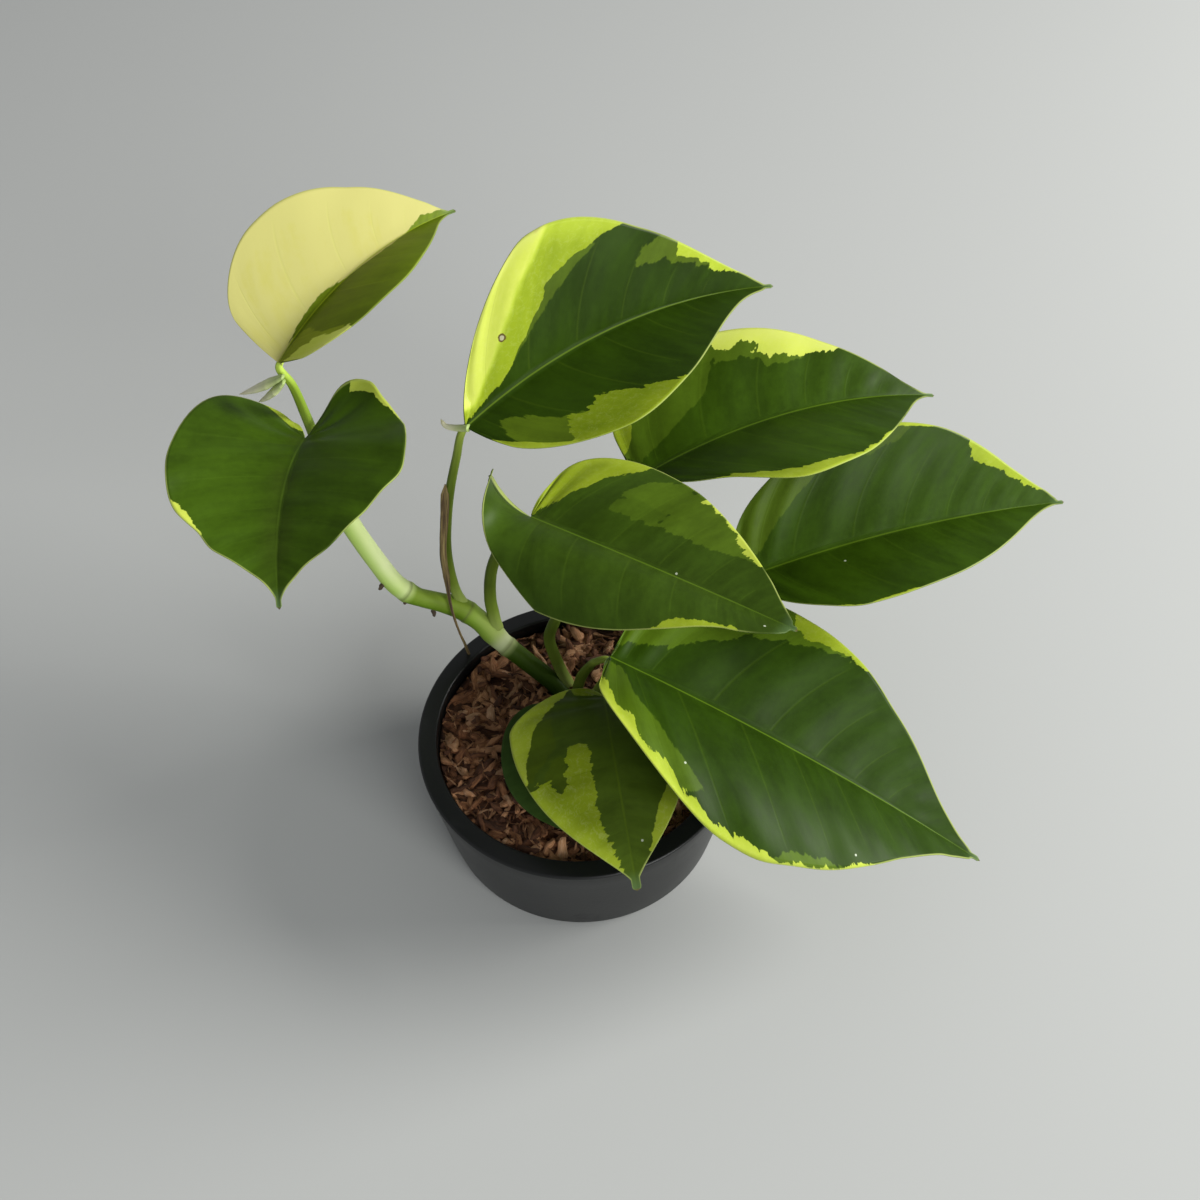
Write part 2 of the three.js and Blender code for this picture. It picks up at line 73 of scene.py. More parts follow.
# Leaves: the same measures as in the part, in millimetres and degrees; a pair is left half, right
# half. heading, pitch and roll turn the midrib at the base, and sickle, droop and twist are what
# these gain or lose towards the tip. fold is how far a half rises from the midrib, and curl what
# that gains towards the margin. lobe, rear, widest, shoulder, full and tip shape the margin in shares
# of the length and the half width, and lift raises the lobe behind the base. wave is [height of the
# waves in the margin, number of waves], quilt the rise of the blade between its side veins, and veins
# the number of side veins of a half.
LEAVES = {
    "leaf_1": dict(
        base=(-88, 47, 190), length=80, half=(29, 26.5), heading=52, pitch=30, roll=10, twist=15,
        droop=39, sickle=-10, fold=(22, 45), curl=(4, -20), lobe=(-0.03, -0.03), rear=(0.45, 0.45),
        widest=(0.32, 0.32), shoulder=(0.4, 0.4), full=0.65, tip=0.11, lift=(0, 0),
        wave=(0.25, 5), quilt=0.05, veins=9,
    ),
    "leaf_2": dict(
        base=(-82.3, 34.7, 170), length=64.5, half=(37, 34), heading=-98, pitch=18, roll=3, twist=1,
        droop=51, sickle=15, fold=(15, 12), curl=(-12, 20), lobe=(0.4, 0.2), rear=(0.45, 0.45),
        widest=(0.26, 0.29), shoulder=(0.4, 0.7), full=0.64, tip=0.18, lift=(32, -10),
        wave=(0.7, 7), quilt=0.3, veins=9,
    ),
    "leaf_3": dict(
        base=(-32.5, 40, 168), length=130, half=(40, 40), heading=45, pitch=12, roll=33, twist=-6,
        droop=27, sickle=-21, fold=(40, 26), curl=(-10, 12), lobe=(-0.05, -0.02), rear=(0.2, 0.3),
        widest=(0.34, 0.32), shoulder=(0.3, 0.4), full=0.45, tip=0.12, lift=(0, 0),
        wave=(0.3, 5), quilt=0.2, veins=11,
    ),
    "leaf_4": dict(
        base=(22.7, 57, 125), length=121.5, half=(40, 41), heading=25, pitch=17, roll=-6, twist=15,
        droop=34, sickle=-11, fold=(18, 24), curl=(7, -15), lobe=(-0.01, -0.08), rear=(0.4, 0.3),
        widest=(0.27, 0.39), shoulder=(0.5, 0.3), full=0.58, tip=0.09, lift=(0, 0),
        wave=(0.4, 5), quilt=0.22, veins=11,
    ),
    "leaf_5": dict(
        base=(59.7, 31.6, 99.5), length=126, half=(40, 33.5), heading=15, pitch=11.5, roll=9.5,
        twist=9, droop=20, sickle=-2, fold=(23, 31), curl=(19, -11), lobe=(-0.02, -0.04),
        rear=(0.3, 0.4), widest=(0.37, 0.27), shoulder=(0.3, 0.4), full=0.61, tip=0.08, lift=(0, 0),
        wave=(0.35, 5), quilt=0.3, veins=12,
    ),
    "leaf_6": dict(
        base=(-13.9, 33.9, 132), length=98, half=(38.5, 34.2), heading=-32, pitch=3, roll=-6, twist=2,
        droop=5, sickle=1, fold=(18, 27.6), curl=(-18, -82), lobe=(0.02, 0.32), rear=(0.5, 0.13),
        widest=(0.26, 0.22), shoulder=(0.6, 0.06), full=0.55, tip=0.08, lift=(0, 101),
        wave=(0.35, 5), quilt=0.22, veins=10,
    ),
    "leaf_7": dict(
        base=(11.7, 0.3, 97), length=147.5, half=(47.5, 50), heading=-22, pitch=-15, roll=-14,
        twist=15, droop=11, sickle=-2, fold=(15, 29), curl=(5, -50), lobe=(-0.01, 0.01),
        rear=(0.45, 0.45), widest=(0.29, 0.37), shoulder=(0.6, 0.3), full=0.64, tip=0.12, lift=(0, 0),
        wave=(0.5, 6), quilt=0.32, veins=13,
    ),
    "leaf_8": dict(
        base=(9.3, 0, 73), length=77, half=(26, 34.6), heading=-85, pitch=21, roll=4, twist=4,
        droop=41, sickle=4, fold=(2, 6), curl=(-8, -2), lobe=(0.05, 0.08), rear=(0.5, 0.3),
        widest=(0.25, 0.21), shoulder=(0.6, 0.3), full=0.63, tip=0.08, lift=(0, 0),
        wave=(0.3, 5), quilt=0.25, veins=10,
    ),
    "leaf_9": dict(
        base=(4, -0.8, 58), length=46.5, half=(26, 30), heading=-102, pitch=1.5, roll=2, twist=4,
        droop=19, sickle=19, fold=(12, 10), curl=(-12, -4), lobe=(0.05, 0.09), rear=(0.5, 0.4),
        widest=(0.27, 0.27), shoulder=(0.6, 0.6), full=0.8, tip=0.08, lift=(0, 0),
        wave=(0.2, 4), quilt=0.15, veins=8,
    ),
}
BLADE_THICKNESS = 0.5
MIDRIB_STEPS = 12

# The blades' grids: rows along each stretch of the margin, columns of a half, the power that crowds
# these towards the margin, and the rows' places along the side veins where the stretches meet
ROWS_LOBE = 14
ROWS_SHOULDER = 22
ROWS_TIP = 60
COLUMNS = 30
CROWDING = 0.85
LOBE_ORDER = 0.2
BROAD_ORDER = 0.4

# Midrib groove on the upper side and keel below it, in millimetres
GROOVE_WIDTH = 0.8
GROOVE_DEPTH = 0.22
KEEL_DEPTH = 0.9
KEEL_TIP_DEPTH = 0.25

# The edge of leaf 3 that is bent back beside its base, as an outline like those of the markings
BENT_EDGE = [
    (0.4, 1.05), (0.33, 0.82), (0.28, 0.71), (0.22, 0.53), (0.14, 0.3), (0.05, 0.1), (-0.1, 0.2),
    (-0.1, 1.4), (0.4, 1.4),
]

# Markings. Each patch is an outline in [share of the length, share of the half width, left half
# positive], with its tone from 0, olive lime, to 1, cream, and how far its edge is torn along the
# veins, in millimetres. Pale patches lie over the mid green ones. A patch with over in place of torn
# only changes the tone of those under it, across an edge that wide.
PALE_MARKS = {
    "leaf_1": [
        dict(tone=1.0, torn=0.5, outline=[
            (-0.1, -0.02), (0.02, -0.03), (0.15, 0.05), (0.24, 0.07), (0.33, 0.07), (0.43, 0.0),
            (0.55, -0.08), (0.64, -0.08), (0.71, -0.03), (0.78, 0.04), (0.84, 0.1), (1.05, 0.02),
            (0.9, 0.6), (0.6, 1.2), (0.2, 1.3), (-0.1, 1.0)]),
        dict(tone=0.75, torn=1.2, outline=[
            (-0.05, -0.02), (0.02, -0.2), (0.06, -0.29), (0.13, -0.5), (0.17, -0.72), (0.24, -0.88),
            (0.22, -1.1), (0.0, -1.1), (-0.1, -0.5)]),
    ],
    "leaf_2": [
        dict(tone=0.55, torn=1.0, outline=[
            (-0.46, 0.2), (-0.39, 0.25), (-0.33, 0.27), (-0.34, 0.38), (-0.32, 0.48), (-0.28, 0.57),
            (-0.21, 0.71), (-0.02, 0.9), (-0.05, 1.2), (-0.3, 1.0), (-0.5, 0.6)]),
        dict(tone=0.3, torn=0.3, outline=[
            (-0.06, -0.13), (-0.1, -0.26), (-0.14, -0.38), (-0.17, -0.5), (-0.18, -0.6), (-0.16, -0.71),
            (-0.3, -0.9), (-0.35, -0.5), (-0.2, -0.1), (-0.05, -0.03)]),
        dict(tone=0.5, torn=0.8, outline=[
            (0.52, -1.1), (0.54, -0.89), (0.57, -0.8), (0.6, -0.73), (0.63, -0.68), (0.67, -0.62),
            (0.74, -0.8)]),
    ],
    "leaf_3": [
        dict(tone=0.24, torn=0.7, outline=[
            (0.0, 0.03), (0.13, 0.1), (0.17, 0.16), (0.26, 0.36), (0.33, 0.52), (0.33, 0.56),
            (0.35, 0.62), (0.42, 0.7), (0.48, 0.72), (0.52, 0.77), (0.59, 0.79), (0.5, 1.2),
            (0.2, 1.3), (-0.1, 1.0), (-0.1, 0.3)]),
        dict(tone=0.35, torn=1.6, outline=[
            (0.7, 0.41), (0.71, 0.6), (0.8, 0.5), (0.93, 0.2), (0.88, 0.16), (0.81, 0.2),
            (0.8, 0.26), (0.76, 0.33)]),
        dict(tone=0.08, torn=2.2, outline=[
            (0.19, -0.53), (0.22, -0.6), (0.25, -0.64), (0.28, -0.57), (0.3, -0.56), (0.37, -0.68),
            (0.43, -0.77), (0.52, -0.82), (0.6, -1.2), (0.1, -1.2), (0.14, -0.82), (0.16, -0.74),
            (0.17, -0.64)]),
        dict(tone=0.32, torn=0.3, outline=[
            (-0.05, -0.02), (0.01, -0.22), (0.04, -0.38), (0.07, -0.5), (0.11, -0.66), (0.15, -0.78),
            (0.15, -1.1), (-0.1, -1.0)]),
        # painted light: the bent-back strip keeps its olive lime patch but is painted bright lime where
        # it catches the light
        dict(tone=0.74, over=2.5, outline=BENT_EDGE),
    ],
    "leaf_4": [
        dict(tone=0.74, torn=2.2, outline=[
            (0.36, 0.84), (0.4, 0.78), (0.45, 0.79), (0.48, 0.8), (0.49, 0.72), (0.47, 0.67),
            (0.48, 0.62), (0.52, 0.6), (0.57, 0.57), (0.6, 0.53), (0.65, 0.53), (0.71, 0.5),
            (0.76, 0.5), (0.7, 0.8), (0.4, 1.2)]),
        dict(tone=0.25, torn=0.4, outline=[
            (-0.03, 0.2), (0.02, 0.28), (0.05, 0.36), (0.07, 0.5), (0.06, 0.8), (-0.1, 0.7)]),
        dict(tone=0.3, torn=1.0, outline=[
            (0.1, -0.6), (0.18, -0.64), (0.25, -0.73), (0.31, -0.82), (0.37, -0.87), (0.43, -0.9),
            (0.5, -0.89), (0.56, -0.88), (0.64, -0.78), (0.74, -0.6), (0.7, -1.0), (0.3, -1.2)]),
    ],
    "leaf_5": [
        dict(tone=0.25, torn=1.4, outline=[
            (0.72, 0.52), (0.76, 0.44), (0.8, 0.37), (0.84, 0.28), (0.88, 0.21), (0.95, 0.12),
            (0.96, 0.3), (0.8, 0.7), (0.72, 0.7)]),
        dict(tone=0.35, torn=0.4, outline=[
            (0.5, 0.93), (0.55, 0.91), (0.6, 0.87), (0.66, 0.83), (0.66, 1.1), (0.5, 1.1)]),
        dict(tone=0.2, torn=0.8, outline=[
            (0.0, -0.8), (0.1, -0.8), (0.27, -0.98), (0.34, -0.96), (0.42, -0.95), (0.5, -1.1),
            (0.1, -1.1)]),
    ],
    "leaf_6": [
        dict(tone=0.28, torn=1.3, outline=[
            (0.0, 0.03), (0.03, 0.16), (0.06, 0.31), (0.07, 0.38), (0.1, 0.45), (0.12, 0.56),
            (0.15, 0.68), (0.19, 0.77), (0.21, 0.83), (0.23, 0.89), (0.26, 0.98), (0.2, 1.3),
            (-0.1, 1.2), (-0.2, 0.4)]),
        dict(tone=0.5, torn=1.8, outline=[
            (0.5, 0.8), (0.55, 0.78), (0.62, 0.68), (0.69, 0.6), (0.69, 0.54), (0.73, 0.51),
            (0.72, 0.47), (0.77, 0.42), (0.82, 0.38), (0.9, 0.4), (0.6, 1.0)]),
        dict(tone=0.22, torn=1.0, outline=[
            (0.57, -0.78), (0.61, -0.66), (0.63, -0.59), (0.65, -0.53), (0.69, -0.47), (0.78, -0.39),
            (0.84, -0.34), (0.9, -0.5), (0.7, -1.2)]),
    ],
    "leaf_7": [
        dict(tone=0.42, torn=2.4, outline=[
            (-0.03, -0.2), (0.0, -0.34), (0.03, -0.42), (0.05, -0.5), (0.08, -0.56), (0.12, -0.67),
            (0.15, -0.71), (0.2, -0.75), (0.24, -0.83), (0.27, -0.89), (0.3, -0.9), (0.34, -0.93),
            (0.39, -0.95), (0.45, -0.97), (0.52, -0.93), (0.6, -0.86), (0.74, -0.58), (0.7, -1.2),
            (0.2, -1.3), (-0.1, -0.6)]),
        dict(tone=0.2, torn=1.6, outline=[
            (0.36, 1.1), (0.37, 0.88), (0.41, 0.86), (0.45, 0.88), (0.48, 0.88), (0.53, 0.87),
            (0.58, 0.84), (0.6, 1.1)]),
    ],
    "leaf_8": [
        dict(tone=0.42, torn=0.8, outline=[
            (-0.12, -0.33), (-0.08, -0.35), (-0.02, -0.42), (0.04, -0.53), (0.1, -0.62), (0.17, -0.73),
            (0.24, -0.79), (0.31, -0.82), (0.37, -0.86), (0.43, -0.87), (0.49, -0.86), (0.4, -1.3),
            (-0.1, -1.2), (-0.2, -0.5)]),
        dict(tone=0.25, torn=2.0, outline=[
            (0.52, -1.1), (0.5, -0.79), (0.48, -0.77), (0.48, -0.64), (0.55, -0.56), (0.51, -0.49),
            (0.35, -0.47), (0.3, -0.41), (0.3, -0.3), (0.33, -0.22), (0.41, -0.22), (0.52, -0.24),
            (0.59, -0.24), (0.68, -0.22), (0.79, -0.19), (0.86, -0.12), (0.93, -0.1), (0.9, -0.6),
            (0.6, -1.2)]),
        dict(tone=0.3, torn=0.8, outline=[
            (0.52, 0.75), (0.57, 0.6), (0.61, 0.55), (0.67, 0.44), (0.75, 0.35), (0.8, 0.3),
            (0.85, 0.23), (0.88, 0.6), (0.6, 1.1)]),
        dict(tone=0.1, torn=0.5, outline=[
            (-0.3, -0.5), (-0.2, 0.2), (0.0, 0.1), (-0.03, -0.3)]),
    ],
}
MID_MARKS = {
    "leaf_1": [
        dict(tone=0.2, torn=1.4, outline=[
            (-0.05, -0.02), (0.08, -0.05), (0.15, -0.12), (0.17, -0.35), (0.17, -0.56), (0.23, -0.8),
            (0.2, -1.0), (0.0, -0.9)]),
    ],
    "leaf_3": [
        dict(tone=0.2, torn=0.8, outline=[
            (0.17, 0.16), (0.3, 0.4), (0.38, 0.55), (0.45, 0.66), (0.5, 0.7), (0.42, 0.85),
            (0.3, 0.7), (0.2, 0.4)]),
        dict(tone=0.45, torn=1.8, outline=[
            (0.58, 0.41), (0.59, 0.48), (0.61, 0.55), (0.63, 0.57), (0.7, 0.62), (0.8, 0.4),
            (0.84, 0.25), (0.8, 0.26), (0.78, 0.26), (0.71, 0.33), (0.64, 0.4)]),
        dict(tone=0.5, torn=1.6, outline=[
            (0.06, -0.18), (0.09, -0.19), (0.13, -0.33), (0.19, -0.52), (0.24, -0.62), (0.29, -0.81),
            (0.2, -0.9), (0.14, -0.8), (0.1, -0.67), (0.05, -0.5), (0.05, -0.33)]),
    ],
    "leaf_4": [
        dict(tone=0.4, torn=2.0, outline=[
            (0.32, 0.71), (0.37, 0.7), (0.41, 0.67), (0.45, 0.65), (0.47, 0.58), (0.5, 0.5),
            (0.56, 0.5), (0.61, 0.52), (0.6, 0.8), (0.4, 1.1), (0.33, 0.9)]),
        dict(tone=0.5, torn=0.6, outline=[
            (-0.03, 0.2), (0.03, 0.22), (0.1, 0.33), (0.12, 0.45), (0.12, 0.8), (-0.1, 0.7)]),
        dict(tone=0.15, torn=1.0, outline=[
            (0.02, 0.1), (0.12, 0.2), (0.3, 0.45), (0.36, 0.7), (0.3, 1.0), (0.0, 0.9)]),
    ],
    "leaf_5": [
        dict(tone=0.4, torn=0.8, outline=[
            (0.0, 0.1), (0.07, 0.16), (0.14, 0.37), (0.22, 0.56), (0.28, 0.68), (0.26, 1.1),
            (0.0, 0.9)]),
        dict(tone=0.2, torn=1.4, outline=[
            (0.42, 0.72), (0.47, 0.76), (0.51, 0.8), (0.56, 0.9), (0.5, 1.1), (0.42, 1.1)]),
    ],
    "leaf_6": [
        dict(tone=0.32, torn=1.8, outline=[
            (0.22, 0.52), (0.24, 0.64), (0.28, 0.76), (0.34, 0.86), (0.4, 0.93), (0.47, 0.86),
            (0.53, 0.95), (0.62, 0.8), (0.75, 0.6), (0.83, 0.4), (0.76, 0.41), (0.7, 0.42),
            (0.63, 0.37), (0.54, 0.37), (0.48, 0.38), (0.4, 0.35), (0.36, 0.37), (0.43, 0.45),
            (0.43, 0.52), (0.37, 0.51), (0.34, 0.55), (0.3, 0.57), (0.27, 0.52)]),
        dict(tone=0.1, torn=1.4, outline=[
            (0.23, 0.36), (0.22, 0.48), (0.3, 0.6), (0.4, 0.56), (0.45, 0.48), (0.38, 0.38),
            (0.3, 0.36)]),
    ],
    "leaf_7": [
        dict(tone=0.3, torn=2.0, outline=[
            (0.0, 0.12), (0.06, 0.22), (0.12, 0.3), (0.2, 0.48), (0.28, 0.66), (0.4, 0.8),
            (0.46, 0.84), (0.52, 0.85), (0.56, 1.1), (0.1, 1.2), (-0.1, 0.4)]),
        dict(tone=0.4, torn=1.6, outline=[
            (0.48, -1.0), (0.5, -0.9), (0.54, -0.84), (0.6, -0.79), (0.66, -0.74), (0.66, -1.0)]),
        dict(tone=0.2, torn=1.2, outline=[
            (-0.05, -0.1), (0.03, -0.1), (0.08, -0.35), (0.2, -0.62), (0.3, -0.8), (0.2, -1.0),
            (0.0, -0.7)]),
    ],
    "leaf_8": [
        dict(tone=0.6, torn=1.0, outline=[
            (0.05, -0.54), (0.14, -0.57), (0.22, -0.55), (0.3, -0.55), (0.36, -0.65), (0.41, -0.75),
            (0.47, -0.82), (0.45, -1.1), (0.2, -1.2), (0.02, -0.7)]),
        dict(tone=0.5, torn=0.8, outline=[
            (0.35, -0.51), (0.38, -0.6), (0.44, -0.68), (0.47, -0.71), (0.5, -0.62), (0.54, -0.55),
            (0.51, -0.49), (0.43, -0.46)]),
    ],
}

# Trims: how far the margin of each half stands out from the leaf's even shape, as [place along the
# margin from 0 at the base to 1 at the tip, millimetres outwards], left half first
TRIMS = {
    "leaf_1": (
        [(0, 0), (0.1, -1.5), (0.18, -1), (0.27, 1), (0.45, 1.5), (0.6, -0.7), (0.85, 1), (1, 0)],
        [(0, 0), (0.12, -0.8), (0.3, -0.6), (0.45, 0), (0.6, 0), (1, 0)]),
    "leaf_2": (
        [(0.05, 0), (0.15, 2), (0.25, -2.3), (0.3, -1.5), (0.45, 1), (0.58, -0.8), (0.75, 1.5), (0.88, 1),
         (1, 0)],
        [(0, 0), (0.08, -2), (0.18, -2), (0.3, 0.5), (0.57, 1.2), (0.65, 0), (0.7, 1.5), (0.76, 1),
         (1, 0)]),
    "leaf_3": (
        [(0.1, 0), (0.2, 1.5), (0.25, -0.4), (0.3, -0.4), (0.35, 0), (0.38, 1), (0.48, 0.7), (0.6, -1),
         (0.75, 0), (0.9, 1.5), (1, 0)],
        [(0.1, 0), (0.2, -0.7), (0.3, 0), (0.85, 0), (0.95, 1), (1, 0)]),
    "leaf_4": (
        [(0.5, 0), (0.65, -1), (0.8, 0)],
        [(0.15, 0), (0.25, 1.5), (0.3, -1.5), (0.36, 0), (0.42, 0.7), (0.6, 0)]),
    "leaf_5": (
        [(0.15, 0), (0.27, 1.5), (0.4, 0), (0.57, 1.2), (0.75, 0.5), (0.9, 2), (1, 0)],
        [(0.2, 0), (0.33, -1.2), (0.45, 0), (0.65, 0), (0.8, -0.9), (0.95, 0)]),
    "leaf_6": (
        [(0.1, 0), (0.22, -1.2), (0.4, -0.7), (0.55, -1), (0.7, 0.5), (0.8, 2), (0.9, 2), (0.95, 1.5),
         (1, 0)],
        [(0.01, 0), (0.035, 4), (0.07, 3.5), (0.1, -1), (0.13, -4), (0.18, -4), (0.21, -1.5),
         (0.25, 0.5), (0.3, 0), (0.5, 0), (0.6, -0.5), (0.7, 0), (0.75, 1), (0.8, 3.6), (0.85, 5),
         (0.9, 4.8), (0.95, 3), (1, 0)]),
    "leaf_7": (
        [(0.35, 0), (0.48, 1.5), (0.62, -0.7), (0.8, 0), (0.95, 1), (1, 0)],
        [(0.1, 0), (0.2, -2), (0.28, -1.5), (0.38, 1), (0.45, 2.2), (0.5, 0), (0.62, -1), (0.72, -0.8),
         (0.82, 1.5), (0.9, 2.5), (0.95, 2.5), (1, 0)]),
}
NO_TRIMS = ([(0, 0), (1, 0)], [(0, 0), (1, 0)])

# How far from its end a leaf's tip is rounded, in millimetres, where it isn't the usual
BLUNT_TIPS = {"leaf_6": 1.1, "leaf_7": 1.0, "leaf_8": 1.5}
BLUNT_TIP = 0.8

# Creases: the strip of a blade inside the outline is bent back; per millimetre beyond the crease it
# moves by shift along the leaf and across it and drops below the blade
CREASES = {"leaf_3": dict(shift=(0.15, -0.2), drop=0.35, outline=BENT_EDGE)}

# Stem: points along its axis and its radius at each, in millimetres
STEM = [
    ((-2, 17.5, 26), 3.4), ((-4.5, 20.3, 38), 3.5), ((-9.5, 24, 47), 3.6), ((-19, 29, 54), 3.6),
    ((-29, 33.6, 62), 3.8), ((-32.5, 35.6, 65.5), 4.4), ((-37, 38, 70), 4.0),
    ((-44, 40, 75.5), 4.3), ((-51, 39.8, 79.5), 3.6), ((-58.5, 39, 84), 3.4), ((-62, 38.8, 87), 3.9),
    ((-66, 39, 92), 3.7), ((-71, 40.4, 103), 3.6), ((-77, 42, 120), 3.5), ((-80.5, 43.4, 134), 3.5),
    ((-81.6, 44, 142), 3.9), ((-82, 44.3, 147), 2.4),
]

# Nodes at shares of the stem's length, and the lit side, away from which the stem has painted shade
STEM_NODES = (0.3, 0.43, 0.595, 0.955)
STEM_LIT_SIDE = (0.66, 0.2, 0.72)

# Root nubs: place on the stem and the way each points
ROOT_NUBS = [
    ((-70.6, 36.1, 94), (-0.55, -0.7, -0.45)), ((-63, 35.7, 86), (-0.1, -0.85, -0.5)),
    ((-53.4, 36, 78), (0.1, -0.8, -0.6)),
]

# Petioles: leaf, radius and path of each, in millimetres
PETIOLES = {
    "petiole_1": ("leaf_1", 1.8, [
        (-82.2, 44.6, 144), (-82.6, 45.6, 150), (-83, 46.4, 158), (-84.1, 46.6, 170),
        (-85.6, 46.4, 182)]),
    "petiole_2": ("leaf_2", 1.8, [
        (-81.6, 42.6, 139), (-82, 38.4, 144), (-83, 34.5, 151), (-83.2, 33.3, 160)]),
    "petiole_3": ("leaf_3", 1.9, [
        (-43, 40.8, 77), (-44.6, 41.8, 82), (-45.8, 42.8, 90), (-46, 43.6, 105), (-44.1, 43.8, 121),
        (-41.3, 43.6, 136), (-37.4, 42.6, 152)]),
    "petiole_4": ("leaf_4", 2.2, [
        (-4.6, 24.6, 46), (-9.3, 28.4, 61), (-10.6, 29.6, 70), (-7.7, 30.6, 80), (1, 38, 96),
        (12, 48, 110)]),
    "petiole_5": ("leaf_5", 2.1, [
        (4.6, 17.5, 44.5), (13, 21, 60), (29, 34, 75), (42, 45, 86), (52, 41, 93)]),
    "petiole_6": ("leaf_6", 2.3, [
        (-31, 36.2, 68), (-31.6, 38.2, 74), (-32.2, 39.8, 81), (-30.4, 40.4, 97), (-25, 39, 113)]),
    "petiole_7": ("leaf_7", 2.1, [(0.4, 16.4, 42), (-0.6, 12.5, 56), (1, 9, 72), (5, 5, 86)]),
    "petiole_8": ("leaf_8", 1.9, [(4.4, 11.4, 42), (7.6, 7, 52), (9.4, 4, 63)]),
    "petiole_9": ("leaf_9", 1.7, [(-3.4, 9.4, 42), (-1.4, 6, 48), (2, 3, 53)]),
}
PETIOLE_END_RADIUS = 1.2

# Leaves whose petiole comes to the base from below and bends there
BENT_NECKS = ("leaf_2", "leaf_4", "leaf_5", "leaf_6", "leaf_7", "leaf_8", "leaf_9")

# The curled pale tail at the base of leaf 3: its path and its radius from root to tip
LEAF_TAIL = [
    (-31.6, 39.4, 168.2), (-34, 40.4, 167.3), (-36.5, 41.8, 166.2), (-39.6, 43.6, 165.6),
    (-40.9, 45.2, 166.8),
]
LEAF_TAIL_RADIUS = (1.25, 0.7)

# Dry sheath beside the petiole of leaf 3
DRY_SHEATH = [
    (-42.4, 42.4, 140), (-45.0, 42.1, 121), (-46.9, 41.8, 105), (-47, 40.3, 92), (-46.7, 36.6, 84),
    (-45.6, 33.8, 77), (-44.6, 33.4, 69), (-43.8, 35, 60), (-43, 36, 50.6),
]

# Pale sheath at the newest leaf: root and tip of its two blades
TIP_SHEATH = [
    ((-86.6, 43.6, 187.4), (-102.6, 46, 178.6)), ((-86.4, 42.4, 186.4), (-96.4, 43.4, 177.6)),
]

# Bed of packed husk: rings of its top, height above which it is top and not side, and its lumps
BED_RINGS = 24
BED_SIDE = 44 * MM
BED_LUMPS = 1.6

# Loose husk: the pieces strewn over the bed, with their number, largest measures in millimetres,
# tilt in radians and seed
SHREDS = {
    "husk_shreds": dict(count=620, longest=16.0, broadest=4.6, thickest=3.2, tilt=0.6, seed=5),
    "husk_crumbs": dict(count=420, longest=7.5, broadest=2.6, thickest=2.0, tilt=0.8, seed=23),
    "husk_fibres": dict(count=900, longest=13.0, broadest=0.9, thickest=0.75, tilt=0.6, seed=11),
}

# Leaf finishes: what leaf_skin takes for each leaf
LEAF_SKINS = {
    "leaf_1": dict(
        name="half cream leaf", dark=(0.12, 0.175, 0.004), mid=(0.28, 0.35, 0.012), rim=0.3, net=0),
    "leaf_2": dict(
        name="second leaf", dark=(0.037, 0.077, 0.003), mid=(0.06, 0.11, 0.008), stain=0.3),
    "leaf_3": dict(
        name="two-sided leaf", dark=(0.018, 0.041, 0.001), mid=(0.08, 0.13, 0.006),
        ring=(24.2, 16.8, 168.0)),
    "leaf_4": dict(name="back leaf", dark=(0.03, 0.066, 0.002), mid=(0.08, 0.14, 0.007)),
    "leaf_5": dict(
        name="glossy leaf", dark=(0.028, 0.062, 0.0024), mid=(0.07, 0.12, 0.006), gloss=0.36,
        specks=[(35.3, -9.0, 99.5)]),
    "leaf_6": dict(
        name="middle leaf", dark=(0.04, 0.078, 0.006), mid=(0.09, 0.155, 0.01), gloss=0.4, stain=0.15,
        specks=[(55.0, 1.2, 132.0), (89.0, -6.0, 132.0)]),
    "leaf_7": dict(
        name="large quilted leaf", dark=(0.02, 0.047, 0.0012), mid=(0.085, 0.15, 0.006),
        specks=[(35.4, -35.0, 97.0), (98.8, -31.5, 97.0)]),
    # painted light: leaf 8's dark green is set lighter to lift the shade that leaves 6 and 7 cast on it
    "leaf_8": dict(
        name="front leaf", dark=(0.06, 0.1, 0.008), mid=(0.07, 0.11, 0.006), net=0.22,
        specks=[(61.6, 4.4, 73.0)]),
    "leaf_9": dict(name="low leaf", dark=(0.04, 0.08, 0.015), mid=(0.06, 0.1, 0.02), rim=0.0),
}


# Shader maths
class Value:
    """A node's output that maths can be written on."""

    def __init__(self, graph, socket):
        self.graph = graph
        self.socket = socket

    def maths(self, operation, *operands):
        return self.graph.node("ShaderNodeMath", dict(operation=operation), enumerate(operands))

    def __add__(self, other):
        return self.maths("ADD", self, other)

    def __radd__(self, other):
        return self.maths("ADD", other, self)

    def __sub__(self, other):
        return self.maths("SUBTRACT", self, other)

    def __rsub__(self, other):
        return self.maths("SUBTRACT", other, self)

    def __mul__(self, other):
        return self.maths("MULTIPLY", self, other)

    def __rmul__(self, other):
        return self.maths("MULTIPLY", other, self)

    def __truediv__(self, other):
        return self.maths("DIVIDE", self, other)

    def __pow__(self, other):
        return self.maths("POWER", self, other)


